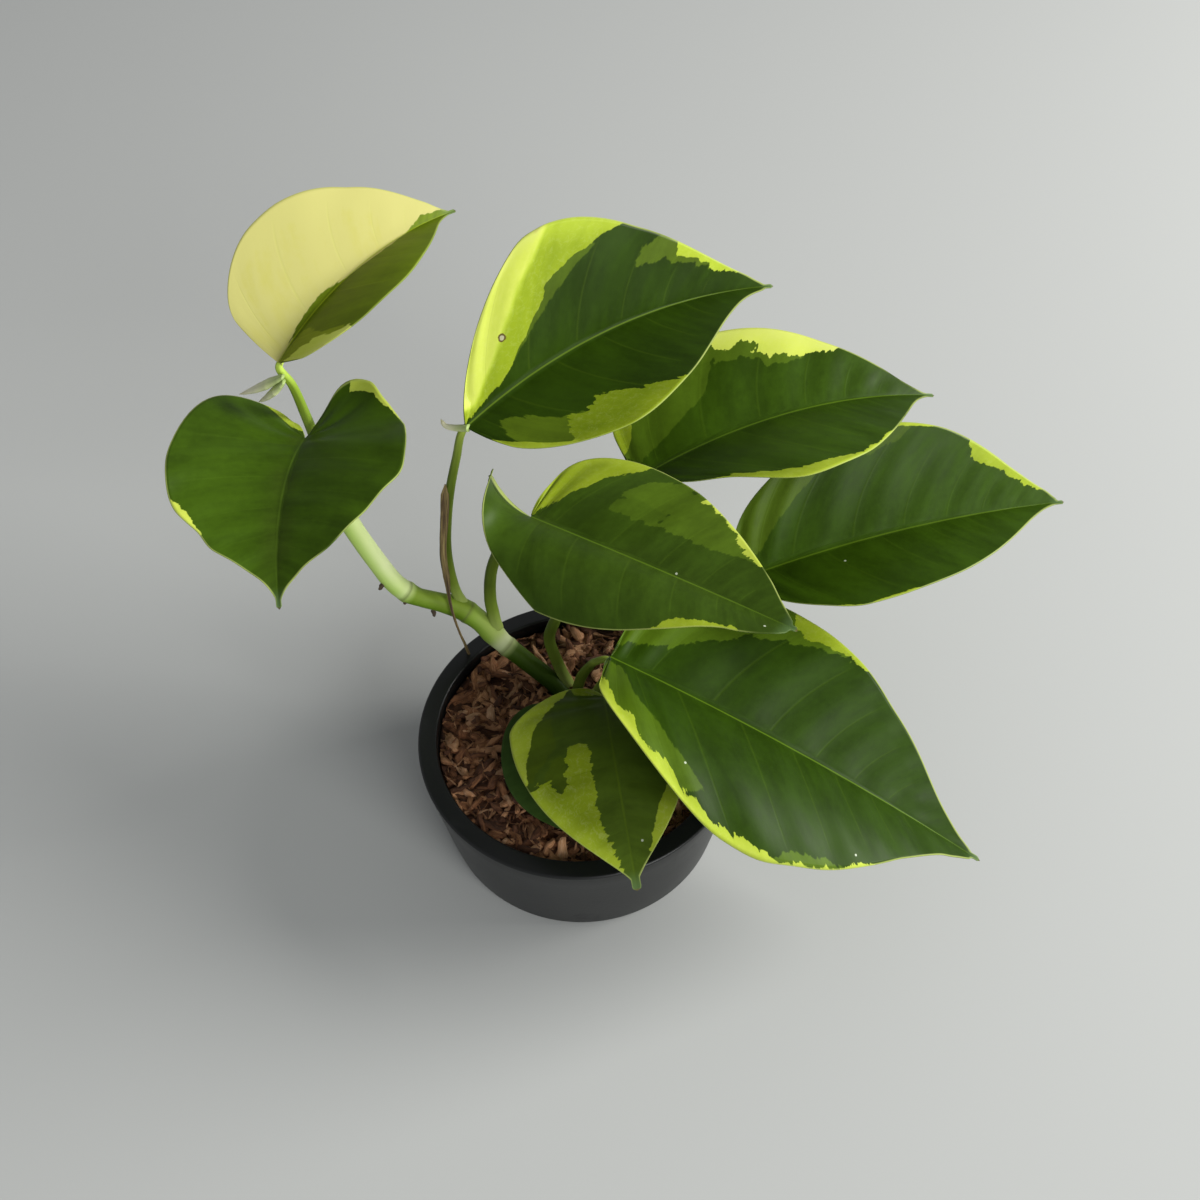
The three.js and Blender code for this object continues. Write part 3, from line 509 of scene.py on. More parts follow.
class Graph:
    """A material's nodes, written as expressions."""

    def __init__(self, name):
        self.material = bpy.data.materials.new(name)
        self.material.use_nodes = True
        self.tree = self.material.node_tree
        self.tree.nodes.clear()

    def node(self, kind, settings=None, values=(), output=0):
        made = self.tree.nodes.new(kind)
        for name, setting in (settings or {}).items():
            if name == "stops":
                self.set_stops(made.color_ramp, setting)
            else:
                setattr(made, name, setting)
        for name, value in values.items() if isinstance(values, dict) else values:
            if isinstance(value, Value):
                self.tree.links.new(value.socket, made.inputs[name])
            else:
                made.inputs[name].default_value = value
        return Value(self, made.outputs[output])

    @staticmethod
    def set_stops(ramp, stops):
        while len(ramp.elements) < len(stops):
            ramp.elements.new(0.5)
        for element, (place, colour) in zip(ramp.elements, stops):
            element.position = place
            element.color = (*colour, 1)

    def attribute(self, name, output="Fac"):
        return self.node("ShaderNodeAttribute", dict(attribute_name=name), output=output)

    def place(self):
        return self.node("ShaderNodeTexCoord", output="Object")

    def scaled(self, vector, scale):
        settings = dict(operation="MULTIPLY")
        return self.node("ShaderNodeVectorMath", settings, [(0, vector), (1, scale)])

    def vector(self, x, y, z=0.0):
        return self.node("ShaderNodeCombineXYZ", values=[(0, x), (1, y), (2, z)])

    def noise(self, vector, scale, detail=3.0, roughness=0.55):
        values = dict(Vector=vector, Scale=scale, Detail=detail, Roughness=roughness)
        return self.node("ShaderNodeTexNoise", values=values)

    def cells(self, vector, scale):
        settings = dict(feature="DISTANCE_TO_EDGE")
        return self.node("ShaderNodeTexVoronoi", settings, dict(Vector=vector, Scale=scale))

    def distance(self, first, second):
        settings = dict(operation="DISTANCE")
        return self.node("ShaderNodeVectorMath", settings, [(0, first), (1, second)], "Value")

    def step(self, value, low, high):
        settings = dict(interpolation_type="SMOOTHSTEP")
        return self.node("ShaderNodeMapRange", settings, [(0, value), (1, low), (2, high)])

    def fade(self, value, low, high):
        return 1.0 - self.step(value, low, high)

    def ramp(self, value, stops):
        return self.node("ShaderNodeValToRGB", dict(stops=stops), dict(Fac=value))

    def mix(self, factor, first, second, blend="MIX"):
        settings = dict(data_type="RGBA", blend_type=blend)
        first = first if isinstance(first, Value) else (*first, 1)
        second = second if isinstance(second, Value) else (*second, 1)
        return self.node("ShaderNodeMix", settings, [(0, factor), (6, first), (7, second)], output=2)

    def shaded(self, factor, colour, tint):
        return self.mix(factor, colour, self.mix(1.0, colour, tint, "MULTIPLY"))

    def bump(self, height, distance, strength=1.0):
        values = dict(Height=height, Distance=distance, Strength=strength)
        return self.node("ShaderNodeBump", values=values)

    def principled(self, colour, roughness, normal=None, **constants):
        values = {"Base Color": colour, "Roughness": roughness, **constants}
        if not isinstance(colour, Value):
            values["Base Color"] = (*colour, 1)
        if normal is not None:
            values["Normal"] = normal
        return self.node("ShaderNodeBsdfPrincipled", values=values)

    def finish(self, shader):
        out = self.tree.nodes.new("ShaderNodeOutputMaterial")
        self.tree.links.new(shader.socket, out.inputs["Surface"])
        return self.material


# Finishes
def pot_plastic():
    g = Graph("matte black pot plastic")
    place = g.place()
    grain = g.noise(place, 900.0, detail=2.0)
    clouds = g.noise(place, 22.0, detail=4.0)
    dust = g.step(g.noise(place, 60.0, detail=6.0, roughness=0.7), 0.55, 0.85)
    colour = g.mix(clouds, (0.004, 0.0046, 0.0046), (0.007, 0.0078, 0.0078))
    colour = g.mix(dust * 0.25, colour, (0.03, 0.031, 0.03))
    roughness = 0.34 + clouds * 0.1 + dust * 0.15
    normal = g.bump(grain, 0.00012, 0.3)
    return g.finish(g.principled(colour, roughness, normal, **{"Specular IOR Level": 0.4}))


def husk():
    g = Graph("damp coconut husk")
    grain = g.attribute("grain", "Vector")
    shade = g.attribute("shade")
    fibres = g.noise(g.scaled(grain, (0.25, 2.4, 2.4)), 1.0, detail=5.0, roughness=0.7)
    clumps = g.noise(g.place(), 170.0, detail=4.0)
    colour = g.ramp(shade * 0.55 + fibres * 0.85 - 0.22, [
        (0.08, (0.022, 0.008, 0.003)), (0.3, (0.13, 0.045, 0.015)), (0.5, (0.34, 0.14, 0.052)),
        (0.68, (0.64, 0.32, 0.15)), (0.92, (0.85, 0.58, 0.36))])
    colour = g.mix(g.step(clumps, 0.42, 0.72) * 0.4, colour, (0.05, 0.018, 0.007))
    normal = g.bump(fibres, 0.0012, 1.0)
    return g.finish(g.principled(colour, 0.62 + fibres * 0.2, normal))


def leaf_skin(name, dark, mid, gloss=0.42, rim=0.6, stain=0.0, net=0.1, ring=None, specks=()):
    """A blade: dark green with mid green and pale marks, faint veins and a paler underside. rim is how
    strong the pale line on the margin is, stain the brown tint by the midrib, net the fine veins of
    the pale marks. ring and specks are places of small scars on the blade, in millimetres."""
    g = Graph(name)
    flat = g.attribute("flat", "Vector")
    rib, vein, edge, under, tip, side = (
        g.attribute(n) for n in ("rib", "vein", "edge", "under", "tip", "side"))
    slow = g.noise(flat, 0.035, detail=3.0)
    fine = g.noise(flat, 0.5, detail=4.0, roughness=0.6)
    streaks = g.noise(g.vector(vein * 3.6, rib * 0.07, side), 1.0, detail=4.0, roughness=0.6)
    torn = (streaks - 0.5) * 4.4 + (fine - 0.5) * 1.0
    pale = g.step(g.attribute("pale") + torn * g.attribute("pale_torn"), -0.16, 0.16)
    medium = g.step(g.attribute("mid") + torn * g.attribute("mid_torn"), -0.3, 0.3)

    shade = g.step(slow * 0.45 + streaks * 0.4 + fine * 0.15, 0.34, 0.66)
    green = g.mix(shade, [c * 0.74 for c in dark], [c * 1.3 for c in dark])
    lighter = g.mix(shade, [c * 0.8 for c in mid], [c * 1.2 for c in mid])
    colour = g.mix(medium * (0.45 + g.attribute("mid_tone")), green, lighter)
    # painted sheen: the pale tone and the margin line are raised within 7 mm of the margin
    margin_sheen = g.fade(edge, 0.0, 7.0) * 0.14
    cream = g.ramp(g.attribute("pale_tone") + (shade - 0.5) * 0.12 + margin_sheen, [
        (0.0, (0.15, 0.22, 0.006)), (0.25, (0.29, 0.38, 0.016)), (0.5, (0.48, 0.6, 0.045)),
        (0.75, (0.71, 0.8, 0.12)), (0.88, (0.76, 0.83, 0.18)), (0.94, (0.64, 0.6, 0.165)),
        (1.0, (0.66, 0.62, 0.21))])
    if net:
        wander = dict(Vector=flat, Scale=0.35, Detail=3.0)
        bend = g.node("ShaderNodeTexNoise", values=wander, output="Color")
        bend = g.node("ShaderNodeVectorMath", dict(operation="MULTIPLY_ADD"), [
            (0, bend), (1, (5.0, 5.0, 0.0)), (2, g.scaled(flat, (0.6, 0.9, 1.0)))])
        threads = g.fade(g.cells(bend, 0.6), 0.0, 0.1) * g.step(fine, 0.35, 0.65)
        cream = g.mix(threads * net, cream, (0.72, 0.78, 0.3))
    colour = g.mix(pale, colour, cream)

    spacing = g.node("ShaderNodeMath", dict(operation="PINGPONG"), [(0, vein), (1, 0.5)])
    side_vein = g.fade(spacing, 0.0, 0.035) * g.step(rib, 0.4, 3.0) * g.step(edge, 1.0, 9.0)
    colour = g.mix(side_vein * 0.07, colour, [c * 1.9 for c in mid])
    midrib = g.fade(rib, 0.14, 0.5) * (0.25 + g.step(tip, 0.0, 40.0) * 0.3)
    colour = g.mix(midrib, colour, [c * 1.6 for c in mid])
    if stain:
        browned = g.fade(rib, 1.0, 8.0) * g.step(slow, 0.35, 0.65) * (1.0 - pale)
        colour = g.mix(browned * stain, colour, (0.03, 0.026, 0.008))
    margin_line = g.fade(edge, 0.12, 0.42) * g.step(slow + margin_sheen, 0.4, 0.62)
    colour = g.mix(margin_line * rim, colour, (0.5, 0.58, 0.16))
    colour = g.mix(g.fade(tip, 0.8, 7.0) * 0.7, colour, (0.1, 0.17, 0.065))
    colour = g.mix(g.fade(tip, 0.2, 0.9), colour, (0.12, 0.1, 0.04))
    if ring:
        away = g.distance(flat, ring) + (fine - 0.5) * 1.4
        colour = g.mix(g.fade(away, 1.25, 1.5), colour, (0.11, 0.07, 0.018))
        colour = g.mix(g.fade(away, 0.7, 0.9), colour, (0.45, 0.44, 0.27))
    for spot in specks:
        away = g.distance(flat, spot)
        colour = g.mix(g.fade(away, 0.3, 0.5) * 0.8, colour, (0.62, 0.68, 0.52))
    colour = g.mix(under * 0.5, colour, (0.1, 0.17, 0.045))

    height = fine * 0.1 + streaks * 0.5 - side_vein * 0.25
    normal = g.bump(height, 0.00016, 0.5)
    roughness = gloss + (fine - 0.5) * 0.1 + under * 0.2 + (slow - 0.5) * 0.16
    skin = g.principled(colour, roughness, normal, **{"Specular IOR Level": 0.09})
    through = g.node("ShaderNodeBsdfTranslucent", values=dict(Color=(0.3, 0.44, 0.012, 1)))
    shader = g.node("ShaderNodeMixShader", values=[(0, 0.1 + pale * 0.16), (1, skin), (2, through)])
    return g.finish(shader)


def stem_skin():
    g = Graph("green stem")
    along = g.attribute("along")
    place = g.place()
    streaks = g.noise(g.vector(along * 9.0, g.attribute("around") * 3.0), 1.0, detail=4.0)
    clouds = g.noise(place, 120.0, detail=4.0)
    colour = g.ramp(along, [
        (0.0, (0.025, 0.045, 0.006)), (0.17, (0.045, 0.085, 0.008)), (0.285, (0.07, 0.125, 0.01)),
        (0.31, (0.5, 0.6, 0.2)), (0.36, (0.42, 0.53, 0.13)), (0.42, (0.28, 0.4, 0.06)),
        (0.45, (0.2, 0.29, 0.03)), (0.58, (0.22, 0.32, 0.04)), (0.61, (0.66, 0.8, 0.3)),
        (0.7, (0.84, 0.93, 0.5)), (0.85, (0.74, 0.86, 0.36)), (1.0, (0.46, 0.6, 0.12))])
    colour = g.shaded(streaks * 0.35, colour, (0.6, 0.72, 0.45))
    # painted shade: the stem's side turned from the light is darkened
    colour = g.shaded(g.fade(g.attribute("upper"), -0.3, 0.75) * 0.8, colour, (0.5, 0.66, 0.22))
    colour = g.mix(g.attribute("pale") * 0.75, colour, (0.72, 0.76, 0.5))
    colour = g.mix(g.attribute("scar") * 0.6, colour, (0.11, 0.12, 0.04))
    normal = g.bump(streaks + clouds * 0.4, 0.0003, 0.5)
    roughness = 0.38 + clouds * 0.2
    return g.finish(g.principled(colour, roughness, normal, **{"Specular IOR Level": 0.1}))


def petiole_skin(name, light=1.0):
    g = Graph(name)
    along = g.attribute("along")
    streaks = g.noise(g.vector(along * 6.0, g.attribute("around") * 3.5), 1.0, detail=4.0)
    colour = g.ramp(along, [
        (0.0, (0.38, 0.47, 0.12)), (0.12, (0.17, 0.24, 0.03)),
        (0.3, [c * light for c in (0.085, 0.125, 0.014)]),
        (0.7, [c * light for c in (0.12, 0.175, 0.018)]),
        (0.88, [c * light for c in (0.26, 0.34, 0.05)]), (1.0, (0.42, 0.5, 0.1))])
    colour = g.shaded(streaks * 0.45, colour, (0.55, 0.66, 0.4))
    normal = g.bump(streaks, 0.0003, 0.5)
    roughness = 0.4 + streaks * 0.12
    return g.finish(g.principled(colour, roughness, normal, **{"Specular IOR Level": 0.1}))


def dry_skin():
    g = Graph("dry brown sheath")
    along = g.attribute("along")
    fibres = g.noise(g.vector(along * 4.0, g.attribute("around") * 5.0), 1.0, detail=5.0)
    colour = g.ramp(fibres, [
        (0.25, (0.02, 0.012, 0.006)), (0.45, (0.09, 0.055, 0.02)), (0.58, (0.26, 0.19, 0.07)),
        (0.75, (0.45, 0.38, 0.17))])
    return g.finish(g.principled(colour, 0.75, g.bump(fibres, 0.0004, 0.8)))


def tip_skin():
    g = Graph("cream sheath")
    along = g.attribute("along")
    fibres = g.noise(g.vector(along * 3.0, g.attribute("around") * 4.0), 1.0, detail=4.0)
    colour = g.ramp(along + (fibres - 0.5) * 0.3, [
        (0.0, (0.3, 0.4, 0.12)), (0.3, (0.6, 0.66, 0.32)), (0.7, (0.8, 0.78, 0.55)),
        (0.97, (0.74, 0.68, 0.42))])
    return g.finish(g.principled(colour, 0.5, g.bump(fibres, 0.0003, 0.5)))


def nub_skin():
    g = Graph("dark root nub")
    crust = g.noise(g.place(), 1400.0, detail=4.0)
    colour = g.mix(crust, (0.02, 0.012, 0.008), (0.12, 0.08, 0.045))
    return g.finish(g.principled(colour, 0.8, g.bump(crust, 0.0003, 0.8)))


def floor_finish():
    g = Graph("plain pale floor")
    return g.finish(g.principled((0.46, 0.47, 0.46), 0.9))


# Meshes
def new_mesh(name, points, faces, material, numbers=None, vectors=None):
    """A smooth mesh object from points in millimetres, with a value for each point in each attribute."""
    mesh = bpy.data.meshes.new(name)
    mesh.from_pydata((np.asarray(points) * MM).tolist(), [], faces)
    for kind, table in (("FLOAT", numbers or {}), ("FLOAT_VECTOR", vectors or {})):
        for title, values in table.items():
            layer = mesh.attributes.new(title, kind, "POINT")
            layer.data.foreach_set("value" if kind == "FLOAT" else "vector", np.ravel(values))
    mesh.materials.append(material)
    mesh.shade_smooth()
    mesh.validate()
    made = bpy.data.objects.new(name, mesh)
    bpy.context.scene.collection.objects.link(made)
    return made


def unit(vectors):
    return vectors / np.linalg.norm(vectors, axis=-1, keepdims=True)


def ring_faces(grid):
    """Faces of a closed body from rings of points, a row of the grid each, and a point at either end
    that comes after them."""
    following = np.roll(grid, -1, axis=1)
    quads = np.stack([grid[:-1], following[:-1], following[1:], grid[1:]], -1).reshape(-1, 4)
    first, last = grid.size, grid.size + 1
    faces = quads.tolist()
    for j in range(grid.shape[1]):
        faces.append([first, following[0, j], grid[0, j]])
        faces.append([last, grid[-1, j], following[-1, j]])
    return faces


def sheet_faces(grid):
    """Faces of a thin closed sheet: its upper side, its lower side, whose points come after all of
    the upper ones, and the strip round its margin."""
    near, far = grid[:-1], grid[1:]
    quads = np.stack([near[:, :-1], far[:, :-1], far[:, 1:], near[:, 1:]], -1).reshape(-1, 4)
    faces = quads.tolist() + (quads[:, ::-1] + grid.size).tolist()
    loop = [*grid[0, :], *grid[1:, -1], *grid[-1, -2::-1], *grid[-2:0:-1, 0]]
    for a, b in zip(loop, loop[1:] + loop[:1]):
        faces.append([a, b, b + grid.size, a + grid.size])
    return faces


def bezier(p0, p1, p2, p3, t):
    s = 1 - t
    blends = (s**3, 3 * s * s * t, 3 * s * t * t, t**3)
    return sum(b[:, None] * np.array(p, float) for b, p in zip(blends, (p0, p1, p2, p3)))


def margin(leaf, k):
    """Margin of one half from just beside the base to the tip: share of the length, share of the half
    width, foot of the row on the midrib, and the row's place along the side veins from 0 to 1."""
    lobe, widest, reach, rear = (leaf[n][k] for n in ("lobe", "widest", "shoulder", "rear"))
    foot = widest * 0.35
    back = (-lobe, rear)
    broad = (widest, 1)
    t = (np.arange(ROWS_LOBE) + 0.8) / (ROWS_LOBE + 0.8)
    first = bezier((0, 0), (-lobe * 0.75, 0.06), (-lobe, 0.45 * rear), back, t)
    parts = [np.column_stack([first, 0 * t, LOBE_ORDER * t])]
    t = np.arange(ROWS_SHOULDER) / ROWS_SHOULDER
    out = (-lobe, rear + (1 - rear) * reach)
    second = bezier(back, out, (widest - (widest + lobe) * reach, 1), broad, t)
    order = LOBE_ORDER + (BROAD_ORDER - LOBE_ORDER) * t
    parts.append(np.column_stack([second, foot * t * t, order]))
    t = np.arange(ROWS_TIP + 1) / ROWS_TIP
    out = (widest + (1 - widest) * leaf["full"], 1)
    third = bezier(broad, out, (1 - leaf["tip"] * 1.6, leaf["tip"] * 0.35), (1, 0), t)
    feet = third[:, 0] - (widest - foot) * (1 - t)
    parts.append(np.column_stack([third, feet, BROAD_ORDER + (1 - BROAD_ORDER) * t]))
    return np.vstack(parts)


def trimmed_margin(name, k):
    """The margin of one half with its own small bays and bulges and a blunt tip."""
    leaf = LEAVES[name]
    rows = margin(leaf, k)
    scale = np.array([leaf["length"], leaf["half"][k]])
    line = rows[:, :2] * scale
    run = unit(np.gradient(line, axis=0))
    outwards = np.column_stack([-run[:, 1], run[:, 0]])
    reach = np.interp(rows[:, 3], *zip(*TRIMS.get(name, NO_TRIMS)[k]))
    kernel = np.hanning(7)
    reach = np.convolve(np.pad(reach, 3, mode="edge"), kernel / kernel.sum(), mode="valid")
    behind = line[:, 0] < -2
    line = line + outwards * (reach * np.where(behind, 1, np.minimum(1, line[:, 1])))[:, None]
    line[:, 1] = np.where(behind, line[:, 1], np.maximum(line[:, 1], 0.05))
    blunt = BLUNT_TIPS.get(name, BLUNT_TIP)
    short = np.clip((leaf["length"] - line[:, 0]) / blunt, 0, 1)
    tongue = blunt * np.sqrt(1 - (1 - short) ** 2)
    near_tip = rows[:, 3] > 0.8
    line[:, 1] = np.where(near_tip, np.maximum(line[:, 1], tongue), line[:, 1])
    line[-1] = (leaf["length"], 0)
    rows[:, :2] = line / scale
    return rows


def midrib_frame(leaf, k, x):
    """Direction of the midrib at shares x of the length, the side towards the left half, the normal."""
    heading = np.radians(leaf["heading"] + leaf["sickle"] * x)
    lift = np.where(k == 0, leaf["lift"][0], leaf["lift"][1])
    pitch = np.radians(leaf["pitch"] + np.where(x > 0, -leaf["droop"] * x, 4 * lift * x))
    east, north = np.cos(heading), np.sin(heading)
    along = np.stack([np.cos(pitch) * east, np.cos(pitch) * north, np.sin(pitch)], -1)
    level = np.stack([-north, east, 0 * heading], -1)
    roll = np.radians(leaf["roll"] + leaf["twist"] * x)[..., None]
    side = level * np.cos(roll) + np.cross(along, level) * np.sin(roll)
    return along, side, np.cross(along, side)


def blade_surface(leaf, k, x, w):
    """Points and normals of the blade at shares x of the length and w of the half width."""
    point = np.array(leaf["base"], float) + np.zeros((*np.shape(x), 3))
    for i in range(MIDRIB_STEPS):
        along, _, _ = midrib_frame(leaf, k, x * (i + 0.5) / MIDRIB_STEPS)
        point = point + along * (x * leaf["length"] / MIDRIB_STEPS)[..., None]
    _, side, normal = midrib_frame(leaf, k, x)
    fold, curl, half = (np.where(k == 0, *leaf[n]) for n in ("fold", "curl", "half"))
    fold, curl = np.radians(fold), np.radians(curl)
    turned = fold + curl * w
    outwards = half * (np.sin(turned) - np.sin(fold)) / curl
    upwards = half * (np.cos(fold) - np.cos(turned)) / curl
    sign = np.where(k == 0, 1.0, -1.0)
    point = point + (sign * outwards)[..., None] * side + upwards[..., None] * normal
    facing = (-sign * np.sin(turned))[..., None] * side + np.cos(turned)[..., None] * normal
    return point, facing


def inside_by(outline, places, scale):
    """How far places lie inside an outline, in millimetres, less than nothing outside it."""
    ring = np.array(outline, float) * scale
    spots = places * scale
    nearest = np.full(len(spots), 1e9)
    crossings = np.zeros(len(spots), int)
    for a, b in zip(ring, np.roll(ring, -1, axis=0)):
        run = b - a
        t = np.clip(((spots - a) @ run) / (run @ run), 0, 1)
        nearest = np.minimum(nearest, np.linalg.norm(spots - a - t[:, None] * run, axis=1))
        if a[1] != b[1]:
            meets = a[0] + (spots[:, 1] - a[1]) * run[0] / run[1]
            crossings += ((a[1] > spots[:, 1]) != (b[1] > spots[:, 1])) & (spots[:, 0] < meets)
    return np.where(crossings % 2 == 1, nearest, -nearest)


def mark_values(marks, places, scale):
    """Of all marks, the deepest one at each place: how far inside it, its tone, how torn its edge is.
    A mark laid over the others only changes the tone."""
    depth = np.full(len(places), -50.0)
    tone = np.zeros(len(places))
    torn = np.zeros(len(places))
    for mark in marks:
        here = inside_by(mark["outline"], places, scale)
        if mark.get("over"):
            share = np.clip(here / mark["over"] + 0.5, 0, 1)
            tone = tone + (mark["tone"] - tone) * share * share * (3 - 2 * share)
            continue
        deeper = here > depth
        depth = np.where(deeper, here, depth)
        tone = np.where(deeper, mark["tone"], tone)
        torn = np.where(deeper, mark["torn"], torn)
    return depth, tone, torn


def blade_grid(name):
    """The grid of a blade, a row from margin to margin for each step along it: the half of each point,
    its share of the way to the margin, its place on the blade, the margin's share of the half width
    there, and the row's place along the side veins."""
    margins = np.stack([trimmed_margin(name, 0), trimmed_margin(name, 1)])
    rows = np.arange(margins.shape[1])[:, None]
    columns = np.arange(-COLUMNS, COLUMNS + 1)[None, :]
    k = np.where(columns > 0, 0, 1) + 0 * rows
    share = (np.abs(columns) / COLUMNS) ** CROWDING + 0.0 * rows
    foot = margins[:, :, 2].mean(0)[:, None]
    rim_x, rim_w = margins[k, rows, 0], margins[k, rows, 1]
    sweep = 0.45 * share + 0.55 * share**2
    x = foot + (rim_x - foot) * sweep
    return k, share, x, rim_w * share, rim_w, margins[0, :, 3][:, None] + 0.0 * share


def margin_waves(leaf, k, share, order, reach):
    """Rise of the waves in the margin, in millimetres. reach is how far the margin lies from the
    midrib."""
    height, number = leaf["wave"]
    ripple = np.sin(2 * np.pi * (order * number + 0.37 * k + 0.21 * leaf["length"]))
    ripple = ripple * (0.6 + 0.4 * np.sin(2 * np.pi * order * 2.3 + k))
    return height * ripple * (share**3 * np.minimum(1, reach / 8))


def make_leaf(name, material):
    """A thin closed blade with its groove, keel, waves and bulges, and its markings as attributes."""
    leaf = LEAVES[name]
    k, share, x, w, rim_w, order = blade_grid(name)
    half = np.array(leaf["half"], float)[k]
    reach = rim_w * half
    signed = np.where(k == 0, w, -w)
    places = np.column_stack([x.ravel(), signed.ravel()])
    scale = np.array([leaf["length"], half.max()])
    flat = np.stack([x * leaf["length"], signed * half, 0 * x + leaf["base"][2]], -1)
    sunk = np.zeros(x.shape)
    if name in CREASES:
        crease = CREASES[name]
        beyond = np.maximum(0, inside_by(crease["outline"], places, scale)).reshape(x.shape)
        x = x + crease["shift"][0] * beyond / leaf["length"]
        w = w + crease["shift"][1] * beyond / half
        sunk = crease["drop"] * beyond
    point, facing = blade_surface(leaf, k, x, w)
    _, other = blade_surface(leaf, 1 - k, x, w)
    facing = np.where((w == 0)[..., None], unit(facing + other), facing)

    from_rib = np.abs(w) * half
    rim_gap = reach * (1 - share)
    phase = order * leaf["veins"] + 0.5 * k
    bulge = -np.cos(2 * np.pi * phase) * np.clip(from_rib / 6, 0, 1) * np.clip(rim_gap / 5, 0, 1)
    rise = margin_waves(leaf, k, share, order, reach) + leaf["quilt"] * bulge - sunk
    thick = BLADE_THICKNESS * (1 - 0.35 * share) / 2
    towards_base = 1 - np.clip(x, 0, 1)
    groove = np.exp(-((from_rib / GROOVE_WIDTH) ** 2)) * (1 - 0.8 * np.clip(x, 0, 1))
    keel = groove * KEEL_DEPTH * towards_base + groove * KEEL_TIP_DEPTH
    top = point + facing * (rise + thick - GROOVE_DEPTH * groove)[..., None]
    below = point + facing * (rise - thick - keel)[..., None]

    numbers = {
        "rib": from_rib, "vein": phase, "edge": rim_gap, "side": k.astype(float) * 3.0,
        "tip": (1 - x) * leaf["length"],
    }
    for title, marks in (("pale", PALE_MARKS.get(name, ())), ("mid", MID_MARKS.get(name, ()))):
        depth, tone, torn = mark_values(marks, places, scale)
        numbers[title], numbers[title + "_tone"], numbers[title + "_torn"] = depth, tone, torn
    doubled = {title: np.tile(np.ravel(values), 2) for title, values in numbers.items()}
    doubled["under"] = np.repeat([0.0, 1.0], x.size)
    points = np.vstack([top.reshape(-1, 3), below.reshape(-1, 3)])
    faces = sheet_faces(np.arange(x.size).reshape(x.shape))
    vectors = {"flat": np.tile(flat.reshape(-1, 3), (2, 1))}
    made = new_mesh(name + "_blade", points, faces, material, doubled, vectors)
    merge_doubles(made)
    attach(made, "root")
    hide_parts(name)


def merge_doubles(made):
    work = bmesh.new()
    work.from_mesh(made.data)
    bmesh.ops.remove_doubles(work, verts=work.verts, dist=1e-6)
    bmesh.ops.dissolve_degenerate(work, edges=work.edges, dist=1e-7)
    bmesh.ops.recalc_face_normals(work, faces=work.faces)
    work.to_mesh(made.data)
    work.free()


def smooth_path(points, steps):
    """Even points along a smooth line through points."""
    knots = np.array(points, float)
    gaps = np.sqrt(np.linalg.norm(np.diff(knots, axis=0), axis=1))
    ends = np.vstack([2 * knots[0] - knots[1], knots, 2 * knots[-1] - knots[-2]])
    fine = []
    for i in range(len(knots) - 1):
        p0, p1, p2, p3 = ends[i : i + 4]
        d0 = max(np.linalg.norm(p1 - p0) ** 0.5, 1e-6)
        d1 = gaps[i]
        d2 = max(np.linalg.norm(p3 - p2) ** 0.5, 1e-6)
        m1 = ((p1 - p0) / d0 - (p2 - p0) / (d0 + d1) + (p2 - p1) / d1) * d1
        m2 = ((p2 - p1) / d1 - (p3 - p1) / (d1 + d2) + (p3 - p2) / d2) * d1
        t = np.linspace(0, 1, 40, endpoint=i == len(knots) - 2)[:, None]
        fine.append(
            (2 * t**3 - 3 * t**2 + 1) * p1 + (t**3 - 2 * t**2 + t) * m1
            + (3 * t**2 - 2 * t**3) * p2 + (t**3 - t**2) * m2
        )
    fine = np.vstack(fine)
    run = np.concatenate([[0], np.cumsum(np.linalg.norm(np.diff(fine, axis=0), axis=1))])
    even = np.linspace(0, run[-1], steps + 1)
    return np.column_stack([np.interp(even, run, fine[:, c]) for c in range(3)]), even / run[-1]


def carried_frames(path):
    """Two directions square to a path at each of its points, carried along without turning."""
    ahead = unit(np.gradient(path, axis=0))
    first = np.cross(ahead[0], (0, 0, 1) if abs(ahead[0][2]) < 0.9 else (0, 1, 0))
    across = [first / np.linalg.norm(first)]
    for direction in ahead[1:]:
        carried = across[-1] - direction * (across[-1] @ direction)
        across.append(carried / np.linalg.norm(carried))
    across = np.array(across)
    return across, np.cross(ahead, across)


def make_bar(name, path, radius, material, sides=20, shape=None, numbers=None):
    """A bar along an even path with a radius at each point. shape(share, turn) scales the radius."""
    points, share = path
    across, up = carried_frames(points)
    turn = 2 * np.pi * np.arange(sides) / sides
    reach = np.asarray(radius)[:, None] * (shape(share[:, None], turn[None, :]) if shape else 1.0)
    reach = reach * np.ones((len(points), sides))
    rings = (
        points[:, None]
        + (reach * np.cos(turn))[..., None] * across[:, None]
        + (reach * np.sin(turn))[..., None] * up[:, None]
    )
    faces = ring_faces(np.arange(reach.size).reshape(reach.shape))
    vertices = np.vstack([rings.reshape(-1, 3), points[0], points[-1]])
    table = {"along": np.repeat(share, sides), "around": np.tile(np.sin(turn / 2), len(points))}
    for title, values in (numbers or {}).items():
        table[title] = np.ravel(values(share[:, None] + 0 * turn, turn[None, :] + 0 * share[:, None]))
    table = {title: np.concatenate([v, v[:1], v[-1:]]) for title, v in table.items()}
    return new_mesh(name, vertices, faces, material, table)


def near(share, places, width):
    """1 at each place, falling away on both sides within about a width."""
    return sum(np.exp(-(((share - p) / width) ** 2)) for p in places)


